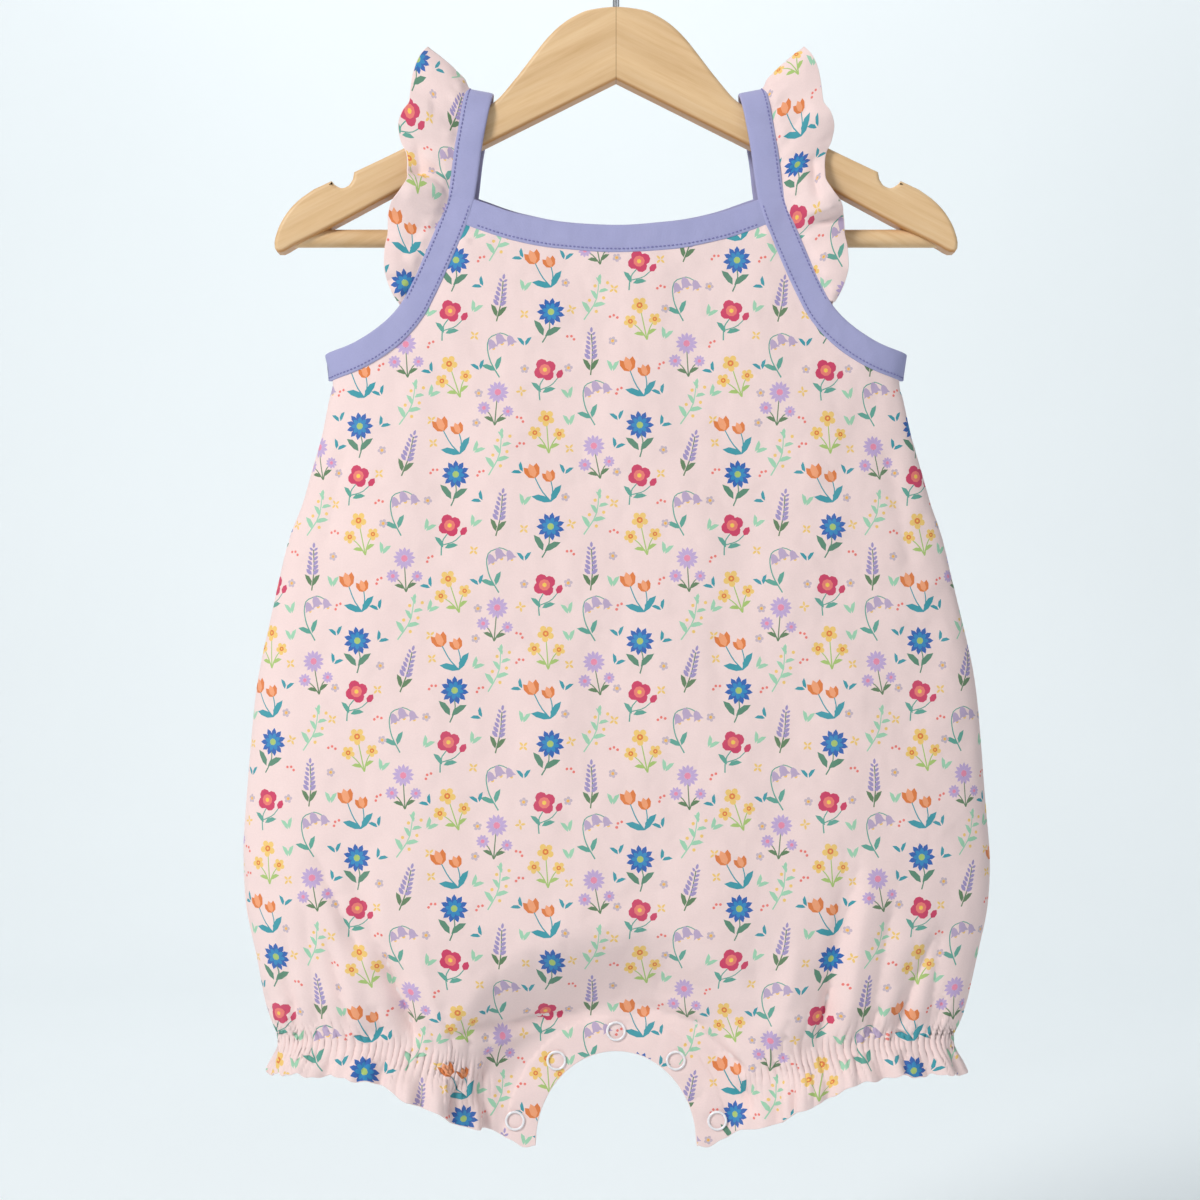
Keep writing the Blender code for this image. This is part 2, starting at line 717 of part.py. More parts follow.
# ---- snaps ----
def turned(name, centre, profile, sides, closed, material):
    """A profile of (radius, offset) turned about an axis along Y."""
    turn = np.arange(sides) * 2 * np.pi / sides
    ring = np.stack([np.cos(turn), np.zeros(sides), np.sin(turn)], axis=1)
    points = np.concatenate([centre + r * ring + np.array([0, y, 0]) for r, y in profile])
    count = len(profile)
    faces = []
    for k in range(count if closed else count - 1):
        here, there = k * sides, (k + 1) % count * sides
        for i in range(sides):
            j = (i + 1) % sides
            faces.append((here + i, here + j, there + j, there + i))
    if not closed:
        faces += [tuple(range(sides)), tuple(range((count - 1) * sides, count * sides))]
    return add_solid(name, points, faces, material)


def add_snaps(ring_material, stud_material):
    """Open ring caps outside both edges and a stud between them, at each place."""
    for i, (x, drop) in enumerate(zip(SNAP_PLACES["x"], SNAP_PLACES["drop"]), start=1):
        middle = np.array([x, 0.0, height(drop)])
        inner = PLACKET_DEPTH + CLOTH / 2 + SNAP_GAP
        for face, word in ((FRONT, "front"), (BACK, "back")):
            centre = middle + np.array([0.0, face * (inner + SNAP_RING_THICK / 2), 0.0])
            half = SNAP_RING_THICK / 2
            profile = [(r, y) for r, y in (
                (SNAP_RING_INNER, -half),
                (SNAP_RING_OUTER, -half),
                (SNAP_RING_OUTER, half),
                (SNAP_RING_INNER, half),
            )]
            turned(f"snap_ring_{word}_{i}", centre, profile, RING_SIDES, True, ring_material)
        half = SNAP_STUD_THICK / 2
        profile = [(SNAP_STUD_RADIUS, -half), (SNAP_STUD_RADIUS, half)]
        turned(f"snap_stud_{i}", middle, profile, STUD_SIDES, False, stud_material)


# ---- hanger ----
def wood_outline():
    """The hanger's outline in x and height, both arms, counted round once."""
    crown = smooth_curve(mirrored(WOOD_TOP["half_x"]), np.concatenate(
        [WOOD_TOP["drop"][:0:-1], WOOD_TOP["drop"]]
    ))
    bend = WOOD_TOP["half_x"][6]
    x = np.concatenate([np.linspace(0, bend, CROWN_STEPS + 1), WOOD_TOP["half_x"][7:]])
    drop = crown(x)
    x = np.concatenate([x, WOOD_NOTCH["half_x"], WOOD_END["half_x"]])
    drop = np.concatenate([drop, WOOD_NOTCH["drop"], WOOD_END["drop"]])
    right = np.stack([x, height(drop)], axis=1)
    left = (right * (-1, 1))[:0:-1]
    fork = np.array([[0.0, height(WOOD_FORK_DROP)]])
    return np.concatenate([right, fork, left])


def add_cutter(name, radius, start, end):
    """A cylinder between two points, used only to cut."""
    start, end = np.array(start), np.array(end)
    direction = unit(end - start)
    side_way = unit(np.cross(direction, (0.0, 1.0, 0.0)))
    up_way = np.cross(direction, side_way)
    turn = np.arange(24) * 2 * np.pi / 24
    ring = np.cos(turn)[:, None] * side_way + np.sin(turn)[:, None] * up_way
    points = np.concatenate([start + ring * radius, end + ring * radius])
    faces = [(i, (i + 1) % 24, 24 + (i + 1) % 24, 24 + i) for i in range(24)]
    faces += [tuple(range(24)), tuple(range(24, 48))]
    cutter = add_solid(name, points, faces, principled(name, (0.5, 0.5, 0.5), 0.5))
    cutter.hide_render = True
    cutter.display_type = "WIRE"
    return cutter


def add_wood(material):
    """The two arms of the hanger as one piece, with holes for the bar and the hook."""
    outline = wood_outline()
    count = len(outline)
    half = WOOD_THICKNESS / 2
    points = [(x, y, z) for y in (-half, half) for x, z in outline]
    faces = [(i, (i + 1) % count, count + (i + 1) % count, count + i) for i in range(count)]
    faces += [tuple(range(count)), tuple(range(count, 2 * count))]
    wood = add_solid("hanger_wood", points, faces, material)
    bevel = wood.modifiers.new("Soft edges", "BEVEL")
    bevel.width = WOOD_BEVEL * MM
    bevel.segments = 2
    bevel.limit_method = "ANGLE"
    bevel.angle_limit = 1.2
    bar_height = height(BAR_DROP)
    cutters = [
        add_cutter(
            f"bar_hole_{word}",
            BAR_HOLE_RADIUS,
            (side * BAR_HOLE_START, 0.0, bar_height),
            (side * BAR_HOLE_END, 0.0, bar_height),
        )
        for side, word in ((LEFT, "left"), (RIGHT, "right"))
    ]
    top = height(0.0)
    cutters.append(
        add_cutter("stem_hole", STEM_HOLE_RADIUS, (0, 0, top + 5), (0, 0, top - STEM_HOLE_DEPTH))
    )
    for cutter in cutters:
        cut = wood.modifiers.new(cutter.name, "BOOLEAN")
        cut.operation = "DIFFERENCE"
        cut.object = cutter
    return wood


def add_bar(material):
    """The round trouser bar between the arms."""
    turn = np.arange(BAR_SIDES) * 2 * np.pi / BAR_SIDES
    points = [
        (x, BAR_RADIUS * np.cos(a), height(BAR_DROP) + BAR_RADIUS * np.sin(a))
        for x in (-BAR_END, BAR_END)
        for a in turn
    ]
    n = BAR_SIDES
    faces = [(i, (i + 1) % n, n + (i + 1) % n, n + i) for i in range(n)]
    faces += [tuple(range(n)), tuple(range(n, 2 * n))]
    return add_solid("hanger_bar", points, faces, material)


def hook_route():
    """Middle of the hook's wire: its stem, a gentle bend and most of a circle."""
    centre = HOOK_WIRE_RADIUS - HOOK_RADIUS
    first = np.radians(HOOK_NECK_ANGLE)
    circle_start = (HOOK_RADIUS * np.cos(first), centre + HOOK_RADIUS * np.sin(first))
    stem_top = height(-9.0)
    ends = np.array([(0.0, stem_top), (0.0, stem_top + 8.0), (3.3, -33.2), circle_start])
    t = np.linspace(0, 1, 9)[:, None]
    weights = [(1 - t) ** 3, 3 * t * (1 - t) ** 2, 3 * t**2 * (1 - t), t**3]
    bend = sum(w * e for w, e in zip(weights, ends))
    turn = np.radians(np.linspace(HOOK_NECK_ANGLE, HOOK_END_ANGLE, 27))[1:]
    circle = np.stack([np.cos(turn), np.sin(turn)], axis=1) * HOOK_RADIUS + (0.0, centre)
    stem = np.array([[0.0, height(STEM_LENGTH_IN_WOOD)]])
    return np.concatenate([stem, bend, circle])


def add_hook(material):
    """The hook's wire, as a bevelled curve with closed ends."""
    curve = bpy.data.curves.new("hanger_hook", "CURVE")
    curve.dimensions = "3D"
    curve.bevel_depth = HOOK_WIRE_RADIUS * MM
    curve.bevel_resolution = 2
    curve.use_fill_caps = True
    route = hook_route()
    spline = curve.splines.new("POLY")
    spline.points.add(len(route) - 1)
    for point, (x, z) in zip(spline.points, route):
        point.co = (x * MM, 0.0, z * MM, 1.0)
    curve.materials.append(material)
    hook = bpy.data.objects.new("hanger_hook", curve)
    bpy.context.collection.objects.link(hook)
    return hook


def main():
    for old in list(bpy.data.objects):
        bpy.data.objects.remove(old)
    cotton = principled("printed jersey", (0.87, 0.69, 0.65), 0.85)
    binding = principled("lavender binding", (0.38, 0.37, 0.63), 0.85)
    wood = principled("pale wood", (0.69, 0.46, 0.25), 0.5)
    steel = principled("bright steel", (0.75, 0.75, 0.76), 0.25, 1.0)
    enamel = principled("white enamel", (0.85, 0.85, 0.86), 0.3)

    add_panel("romper_front", FRONT, cotton)
    add_panel("romper_back", BACK, cotton)
    add_band("neck_binding_front", *neck_stations(FRONT), False, binding)
    add_band("neck_binding_back", *neck_stations(BACK), False, binding)
    for side, word in ((LEFT, "left"), (RIGHT, "right")):
        add_band(f"armhole_binding_{word}", *armhole_stations(side), True, binding)
        add_sleeve(f"flutter_sleeve_{word}", side, cotton)
    add_snaps(enamel, steel)
    add_wood(wood)
    add_bar(wood)
    add_hook(steel)


main()
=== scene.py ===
"""The looks of a baby's bubble romper on its wooden hanger.

Sizes in the tables are in millimetres. "drop" is the distance below the top of the hanger's wood.
The cloth is cut from flat pieces: the flat print is drawn in shapes, divided into triangles, and
every corner is then carried to its place on the garment's form.
"""

import math

import bpy
import numpy as np
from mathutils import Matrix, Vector
from mathutils.geometry import delaunay_2d_cdt


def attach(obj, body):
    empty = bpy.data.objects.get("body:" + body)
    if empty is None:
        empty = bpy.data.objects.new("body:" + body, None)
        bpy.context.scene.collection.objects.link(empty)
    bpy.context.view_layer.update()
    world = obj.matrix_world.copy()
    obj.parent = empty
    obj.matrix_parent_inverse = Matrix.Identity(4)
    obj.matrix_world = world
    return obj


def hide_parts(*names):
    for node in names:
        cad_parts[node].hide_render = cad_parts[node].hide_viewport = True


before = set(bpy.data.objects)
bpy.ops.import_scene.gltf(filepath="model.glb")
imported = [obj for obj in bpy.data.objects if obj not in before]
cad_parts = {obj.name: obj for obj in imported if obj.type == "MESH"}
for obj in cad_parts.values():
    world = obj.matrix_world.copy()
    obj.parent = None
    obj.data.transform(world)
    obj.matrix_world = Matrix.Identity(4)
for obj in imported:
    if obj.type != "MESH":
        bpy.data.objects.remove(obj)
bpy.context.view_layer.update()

MM = 0.001
FRONT, BACK = -1, 1
LEFT, RIGHT = -1, 1


def table(columns, *rows):
    """Rows of numbers as one array for each named column."""
    return dict(zip(columns.split(), np.array(rows, float).T))


# ---- the garment's form, as the frame's solids have it ----
HOOK_RISE = 55.0  # from the rail down to the top of the wood
BINDING_WIDTH = 12.0
BOW = 2.4  # exponent of the superellipse that the hollow's cross-section follows

BODY_WIDTHS = table(
    "drop half_width",
    (150, 129), (153.6, 128.1), (159.5, 126.4), (165.8, 125.3), (173.7, 126.6), (188.8, 129.5),
    (204.3, 134), (218.5, 138.5), (234.9, 144.5), (255.1, 149), (275.5, 153), (295.8, 157), (316.2, 160),
    (336.4, 162.3), (356.8, 163.7), (374, 164.3), (394.3, 163.3), (414.7, 160.2), (430.8, 157),
    (447.2, 152.5), (455.4, 149), (471.6, 155),
)
BODY_DEPTHS = table(
    "drop half_depth",
    (47, 10.8), (92, 12.6), (130, 14.6), (160, 16.4), (200, 19), (250, 23), (300, 26.5), (350, 29),
    (390, 30), (430, 27), (455, 23), (480, 21),
)
ARCH_CENTRE_DROP = 502.9
ARCH_HALF_WIDTH = 36.0
ARCH_HEIGHT = 42.0
PLACKET_DEPTH = 1.9  # from the middle of the garment to the middle of each snapped edge's cloth
PLACKET_FLAT = 15.0
PLACKET_RISE = 42.0
ELASTIC_LINE = table(
    "half_x drop",
    (28, 482), (36, 481.5), (51.6, 475.6), (59.4, 471.9), (71, 466.4), (86.2, 462.3), (101.5, 458),
    (125.6, 453.7), (149.5, 454.3),
)
HEM_LINE = table(
    "half_x drop",
    (36, 502.5), (39.9, 503.4), (46.5, 499.9), (58.3, 495.2), (68, 491.6), (77.9, 485.9), (87.7, 481.2),
    (97.7, 475.2), (109.8, 471.4), (117.9, 469.7), (147.2, 469.7), (155, 471),
)
ELASTIC_TO_ARCH = 7.0
PINCH_SHARE = 0.18
PINCH_REACH = 10.0
HEM_FLARE = 3.0
RUFFLE_DROP = 16.0
RUFFLE_WAVES = 6.5
RUFFLE_HEIGHT = 2.2
GATHERS_START = 50.0
GATHERS_BLEND = 12.0
FOLD_COLUMNS = "x_top drop_top x_low drop_low height half_width"
FRONT_FOLDS = table(
    FOLD_COLUMNS,
    (-120.4, 362, -92.1, 451.8, -2.6, 5), (-137.8, 378.4, -130.7, 452.4, -1.9, 5),
    (-101.2, 385.6, -86.9, 451.8, -1.8, 4.5), (-108, 372, -84, 440, 1.6, 6),
    (-131, 366, -112, 448, 1.8, 6), (123.8, 373.8, 110.5, 451.7, -2.4, 5),
    (101.6, 355.8, 89.4, 451.8, -2, 5), (132.5, 400.8, 121, 456.7, -1.6, 4.5),
    (112, 366, 100, 446, 1.7, 6), (-114.9, 176, -129, 240.4, -1.5, 5), (116, 182, 130, 252, -1.2, 5),
)
BACK_FOLDS = table(
    FOLD_COLUMNS,
    (-126, 370, -102, 452, -2.3, 5), (-98, 352, -88, 450, -2.2, 5), (-112, 360, -95, 446, 1.7, 6),
    (117, 364, 96, 451, -2.6, 5), (138, 384, 127, 454, -1.8, 5), (127, 372, 112, 447, 1.7, 6),
    (98, 388, 84, 450, -1.6, 4.5), (-117, 182, -132, 246, -1.3, 5), (115, 178, 128, 238, -1.4, 5),
)
NECK_LINE = table("half_x drop", (0, 103.6), (24.1, 102.1), (44, 98.4), (63.2, 92.1))
BACK_NECK_RISE = 4.0
ARMHOLE_LINE = table(
    "half_x drop",
    (126.6, 158.9), (115.4, 155.2), (105.5, 150), (95.9, 142.5), (89, 134.2), (84.6, 125.7), (77.2, 109.6),
    (71.9, 96.8), (68.2, 85.7), (64.9, 62.8), (62.1, 47.2),
)
STRAP_RADIUS = 9.9
STRAP_TILT = 0.2
STRAP_BLEND = 40.0
SLEEVE_EDGE = table(
    "half_x drop half_y",
    (95.8, 130.6, 11.6), (97.8, 126.9, 12.4), (99.9, 121.8, 14), (101.2, 114.9, 15), (101, 107.5, 13),
    (99.8, 100.2, 11), (99.7, 94.1, 12), (98.1, 88.4, 16), (94.2, 83.5, 19), (90.9, 76.9, 17),
    (91.1, 71.3, 12), (91.9, 65.4, 9.4), (94.3, 59.8, 9.4), (95.3, 53.9, 11), (93.6, 48, 13),
    (90.5, 43.2, 12), (89.8, 35.2, 9), (88.7, 27.9, 6.5), (86.2, 21.2, 4), (83.4, 17, 0),
)
SLEEVE_FULLNESS = 1.4
SNAP_PLACES = ((-44.7, 491.9), (-26.4, 465.3), (0.0, 452.3), (26.4, 465.3), (44.7, 491.9))  # x, drop
SNAP_RING_OUTER = 4.45
SNAP_RING_INNER = 3.3
WOOD_TOP = table(
    "half_x drop",
    (0, 0), (12, 1.4), (19, 4.4), (25, 8.5), (31, 14.5), (36, 20.8), (44.5, 31.8), (54, 42.2), (70, 49.8),
    (94.4, 62.8), (115.6, 73),
)
WOOD_NOTCH = table("half_x drop", (116.2, 76.2), (118.2, 79), (121, 80), (123.8, 78.8), (125.6, 76.9))
WOOD_END = table(
    "half_x drop",
    (133.5, 80.6), (140.4, 85.6), (146, 92), (149.3, 98.4), (150.8, 104.6), (150.3, 107.6), (148.5, 108.6),
    (141.5, 105.2), (127.3, 98.2), (97.5, 82.3), (59, 61.8),
)
WOOD_FORK_DROP = 32.3
WOOD_THICKNESS = 13.0
BAR_RADIUS = 4.0
BAR_DROP = 101.7
BAR_END = 142.5
HOOK_WIRE_RADIUS = 1.5
HOOK_RADIUS = 17.0

# ---- finer form, which only the looks have ----
CLOTH_OUT = 0.5  # from the middle of the cloth to its printed face
CLOTH_IN = 0.4  # and to its reverse
TUCK_UNDER = 3.0  # of a cloth edge that ends inside a binding, from the binding's middle
BINDING_CLEARANCE = 14.0  # down from the tucked edge, until the cloth is as high as its folds
BINDING_SINK = 0.35
SLEEVE_SINK = 0.5
# Steps between a panel's loose points: on plain cloth, on creased cloth, at the gathers across and
# down, and where the cloth is stepped or dented.
FACE_STEPS = (3.4, 2.3, (0.64, 1.75), 1.3)
REVERSE_STEPS = (4.2, 3.8, (1.6, 3.0), 2.6)
SLEEVE_FACE_STEP, SLEEVE_REVERSE_STEP = 1.2, 1.8
GATHERS = 47  # on each half of each panel, as the other numbers of waves are
GATHER_HEIGHT = 1.1
REACH_ABOVE = (3.0, 11.0)  # of the shortest and the longest gather, from the elastic
REACH_BELOW = (5.0, 15.0)
PUFFS = 10.0  # broader folds that the gathers turn into
PUFF_HEIGHT = 0.9
RUFFLE_RIPPLES = 14.0
RIPPLE_HEIGHT = 0.8
SCALLOPS = 7.0  # waves of the ruffle's free edge
SCALLOP_HEIGHT = 0.7
CREASE_DEPTH = 1.6  # times the heights in the tables of creases
PLACKET_STEP = 0.4  # the facing behind the snapped edge makes it this much thicker
SNAP_DENT = 0.3
SEAM_DENT = 0.6
FRONT_CREASES = table(
    FOLD_COLUMNS,
    (-105, 406, -88, 454, -2.5, 2.6), (-136, 362, -112, 416, -1.8, 3.4), (-128, 402, -117, 449, -1.6, 3),
    (-149, 418, -142, 442, -1.2, 3), (-107, 436, -102, 452, -1, 2.2), (108, 362, 90, 448, -1.5, 4),
    (96, 424, 88, 452.3, -1.2, 2.4), (142, 400, 124, 449, -1.9, 3), (117.3, 435, 110.4, 452.3, -1.1, 2.4),
    (-67.5, 470, -73.2, 486, -1.9, 2.2), (77.1, 472, 76.6, 486, -1.3, 2), (55.9, 474, 59.3, 488, -1.1, 2),
    (104.8, 463, 104.4, 475, -1.1, 2), (125.6, 457, 126.4, 469, -1.3, 2.2),
    (-62, 449.7, -9, 443.2, -1.9, 3.2), (-64, 458, -24, 449.3, 1.1, 3.6), (6, 439, 38, 450.3, -1.7, 3),
    (29, 446, 56, 468, -1.7, 2.8), (38, 456, 59, 484, -1.5, 2.8), (46, 450, 66, 476, 1.2, 3.2),
    (41, 479, 30.5, 484.8, -1.2, 1.7), (-76, 454.5, -50, 443.5, -1.9, 4.4),
    (-64, 489, -55, 460, -1.5, 2.8), (-50.6, 405.7, -53, 442, -1.2, 8), (58, 398, 62, 446, -1, 8),
    (-22, 396, -30, 440, 0.7, 9), (24, 404, 18, 438, -0.6, 9), (-88, 402, -76, 448, 1, 5),
    (80, 396, 74, 450, 1, 6), (-146, 392, -141, 450, -1.2, 4), (144, 396, 138, 450, -1.3, 4),
)
BACK_CREASES = table(
    FOLD_COLUMNS,
    (-104, 416, -94, 451, -1.8, 3), (-130, 420, -121, 450, -1.4, 3), (92, 418, 84, 451, -1.7, 3),
    (113, 414, 105, 450, -1.6, 3), (136, 424, 130, 449, -1.2, 3), (70, 471, 75, 486, -1.7, 2.2),
    (-84, 468, -83, 482, -1.3, 2), (-118, 460, -119, 471, -1.2, 2.2), (-54, 451, -10, 444, -1, 4),
    (9, 442, 55, 452, -1.1, 4), (-36, 457, -57, 481, -0.9, 3.2), (35, 456, 58, 480, -0.8, 3.2),
    (48, 400, 54, 444, -1.1, 8), (-60, 404, -64, 446, -1, 8), (-76, 396, -70, 446, 1, 6),
    (-145, 398, -139, 450, -1.2, 4), (146, 392, 141, 450, -1.1, 4), (22, 398, 26, 440, 0.7, 9),
)
# Long gentle waves that hanging jersey has: heading in degrees, wave length, height, offset.
DRAPE_WAVES = ((8, 61, 0.42, 0.4), (-14, 43, 0.26, 2.1), (71, 88, 0.35, 4.0), (38, 52, 0.2, 1.2))
SLEEVE_CREASES = {
    LEFT: table(
        FOLD_COLUMNS,
        (-2, 46, -22, 55, -2.4, 3), (-3, 58, -22, 64, 1.5, 3.6), (-21, 38, -16, 56, -2, 2.8),
        (-1, 20, -17, 25, -1.2, 4), (-2, 96, -14, 102, -1.5, 2.6), (-8, 66, -12, 92, -0.9, 3.6),
        (-1, -30, -18, -36, -1.4, 4), (-1, -62, -16, -58, -1.2, 4),
    ),
    RIGHT: table(
        FOLD_COLUMNS,
        (4, 35, 20, 25, -1.5, 3), (18, 44, 17, 66, -2.4, 2), (3, 69, 22, 70, 1.7, 2.2),
        (8, 74.5, 28, 76, -2.6, 2.2), (12, 90, 20, 104, -1, 3.6), (1, -34, 18, -28, -1.4, 4),
        (1, -55, 16, -60, -1.2, 4),
    ),
}


# ---- curves and small helpers ----
def smooth_curve(places, values):
    """A function through the points with no overshoot, level past both ends."""
    order = np.argsort(places)
    xs, ys = np.asarray(places, float)[order], np.asarray(values, float)[order]
    steps = np.diff(xs)
    secants = np.diff(ys) / steps
    slopes = np.concatenate([secants[:1], np.zeros(len(xs) - 2), secants[-1:]])
    for i in range(1, len(xs) - 1):
        before, after = secants[i - 1], secants[i]
        if before * after > 0:
            far = 2 * steps[i] + steps[i - 1]
            near = steps[i] + 2 * steps[i - 1]
            slopes[i] = (far + near) / (far / before + near / after)

    def at(x):
        x = np.clip(np.asarray(x, float), xs[0], xs[-1])
        i = np.clip(np.searchsorted(xs, x, side="right") - 1, 0, len(xs) - 2)
        t = (x - xs[i]) / steps[i]
        rise = ys[i] * (1 + 2 * t) * (1 - t) ** 2 + ys[i + 1] * t**2 * (3 - 2 * t)
        return rise + steps[i] * (slopes[i] * t * (1 - t) ** 2 + slopes[i + 1] * t**2 * (t - 1))

    return at


def smoothstep(t):
    t = np.clip(t, 0.0, 1.0)
    return t * t * (3 - 2 * t)


def unit(vectors):
    return vectors / np.maximum(np.linalg.norm(vectors, axis=-1, keepdims=True), 1e-12)


def height(drop):
    return -(HOOK_RISE + drop)


def along(points):
    """Distance from the first point to each point, along the line through them."""
    return np.concatenate([[0.0], np.cumsum(np.linalg.norm(np.diff(points, axis=0), axis=1))])


def between(places, known, values):
    """Each column of the values, read at places between the known ones."""
    return np.stack([np.interp(places, known, column) for column in values.T], axis=1)


def resampled(points, shares):
    """Points at these shares of the line's length."""
    length = along(points)
    return between(shares * length[-1], length, points)


def smooth_line(points, places):
    """Points at these distances along a smooth line through the given ones."""
    length = along(points)
    return np.stack([smooth_curve(length, column)(places) for column in points.T], axis=1)


def mirrored(values, sign=-1):
    """Values for both halves from those of one half, whose first value lies in the middle. A sign
    of 1 is for values that are the same on both sides."""
    return np.concatenate([sign * values[:0:-1], values])


def with_mirror(half, flip):
    """A line that goes on along its mirror image to its start. The shared ends come once."""
    return np.concatenate([half, (half * flip)[-2:0:-1]])


def corners_of(line):
    """A table of two or three columns as an array of points."""
    return np.stack([*line.values()], axis=1)


def circle_turns(count):
    """Angles at even steps round a circle."""
    return np.arange(count) * 2 * np.pi / count


def chance(number, seed):
    """An even spread of values from 0 to 1, always the same one for the same number."""
    return np.modf(np.abs(np.sin(number * 12.9898 + seed * 78.233) * 43758.5453))[0]


def bilinear(net, row, column):
    """The net's value at fractional rows and columns."""
    r = np.clip(np.floor(row).astype(int), 0, net.shape[0] - 2)
    c = np.clip(np.floor(column).astype(int), 0, net.shape[1] - 2)
    down, right = row - r, column - c
    if net.ndim == 3:
        down, right = down[:, None], right[:, None]
    upper = net[r, c] * (1 - right) + net[r, c + 1] * right
    lower = net[r + 1, c] * (1 - right) + net[r + 1, c + 1] * right
    return upper * (1 - down) + lower * down


half_width_at = smooth_curve(BODY_WIDTHS["drop"], BODY_WIDTHS["half_width"])
half_depth_at = smooth_curve(BODY_DEPTHS["drop"], BODY_DEPTHS["half_depth"])
elastic_drop_at = smooth_curve(ELASTIC_LINE["half_x"], ELASTIC_LINE["drop"])
hem_drop_at = smooth_curve(HEM_LINE["half_x"], HEM_LINE["drop"])


# ---- the body's form ----
def angle_of(x, drop):
    """The angle round the hollow, 0 in the middle and a right angle at the side seam."""
    share = np.clip(np.abs(x) / half_width_at(drop), 0.0, 1.0)
    return np.sign(x) * np.arcsin(share ** (BOW / 2))


def arch_distance(x, drop):
    """How far a point of the body is from the edge of the snapped arch."""
    up = np.maximum(ARCH_CENTRE_DROP - drop, 0.0) / ARCH_HEIGHT
    mean_radius = (ARCH_HALF_WIDTH + ARCH_HEIGHT) / 2
    return (np.hypot(x / ARCH_HALF_WIDTH, up) - 1) * mean_radius


def skin_point(angle, drop, face):
    """The middle of the cloth, without folds, at an angle round the hollow and a drop."""
    x = half_width_at(drop) * np.sign(angle) * np.abs(np.sin(angle)) ** (2 / BOW)
    bow = np.abs(np.cos(angle)) ** (2 / BOW)
    past_elastic = drop - elastic_drop_at(np.abs(x))
    pinch = 1 - PINCH_SHARE * np.exp(-((past_elastic / PINCH_REACH) ** 2))
    flare = HEM_FLARE * smoothstep(past_elastic / RUFFLE_DROP)
    depth = (half_depth_at(drop) * pinch + flare) * bow
    opened = smoothstep((arch_distance(x, drop) - PLACKET_FLAT) / PLACKET_RISE)
    depth = PLACKET_DEPTH + (depth - PLACKET_DEPTH) * opened
    strap_share = smoothstep((drop - ARMHOLE_LINE["drop"][-1]) / STRAP_BLEND)
    depth = STRAP_RADIUS + (depth - STRAP_RADIUS) * strap_share
    return np.stack([x, face * depth, height(drop)], axis=-1)


def direction_of(place, angle, drop, face, turn, fall):
    """Outward direction of a form, from its places a small turn and fall to either side."""
    ahead = np.minimum(angle + turn, np.pi / 2)
    behind = np.maximum(angle - turn, -np.pi / 2)
    across = place(ahead, drop, face) - place(behind, drop, face)
    down = place(angle, drop + fall, face) - place(angle, drop - fall, face)
    return face * unit(np.cross(across, down))


def skin_normal(angle, drop, face):
    """Outward direction of the unfolded cloth."""
    outward = direction_of(skin_point, angle, drop, face, 0.01, 0.05)
    at_seam = np.abs(angle) > np.pi / 2 - 1e-6
    outward[..., 1] = np.where(at_seam, 0.0, outward[..., 1])
    return unit(outward)


def edge_of_arch_and_hem():
    """Angles and drops along the body's lower edge, from its middle to the side seam."""
    turn = np.linspace(0, np.pi / 2, 120)
    arch_x = ARCH_HALF_WIDTH * np.sin(turn)
    arch_drop = ARCH_CENTRE_DROP - ARCH_HEIGHT * np.cos(turn)
    hem_x = half_width_at(500.0) * np.sin(np.linspace(0.2, np.pi / 2, 400))
    hem_x = hem_x[hem_x > ARCH_HALF_WIDTH]
    share = np.linspace(0, 1, len(hem_x))
    scallop = np.sin(2 * np.pi * SCALLOPS * share + 0.6) + 0.5 * np.sin(4.6 * np.pi * SCALLOPS * share + 1.3)
    scallop *= smoothstep(share / 0.08) * smoothstep((1 - share) / 0.35)
    x = np.concatenate([arch_x, hem_x])
    even_drop = np.concatenate([arch_drop, hem_drop_at(hem_x)])
    drop = np.concatenate([arch_drop, even_drop[len(arch_drop) :] + SCALLOP_HEIGHT * scallop])
    return angle_of(x, even_drop), drop, angle_of(arch_x, arch_drop)[-1]


EDGE_ANGLES, EDGE_DROPS, CORNER_ANGLE = edge_of_arch_and_hem()


def edge_drop(angle):
    return np.interp(np.abs(angle), EDGE_ANGLES, EDGE_DROPS)


def elastic_drop(angle):
    """The elastic's level at an angle, kept a little above the arch."""
    drop = np.full(np.shape(angle), 460.0)
    for _ in range(6):
        share = np.abs(np.sin(angle)) ** (2 / BOW)
        drop = elastic_drop_at(half_width_at(drop) * share)
    return np.minimum(drop, edge_drop(angle) - ELASTIC_TO_ARCH)


def hem_shares():
    """Angles along the hem and the share of its length from the arch's corner to the side."""
    angles = np.linspace(CORNER_ANGLE, np.pi / 2, 500)
    length = along(skin_point(angles, edge_drop(angles), FRONT))
    return angles, length / length[-1]


HEM_ANGLES, HEM_SHARES = hem_shares()


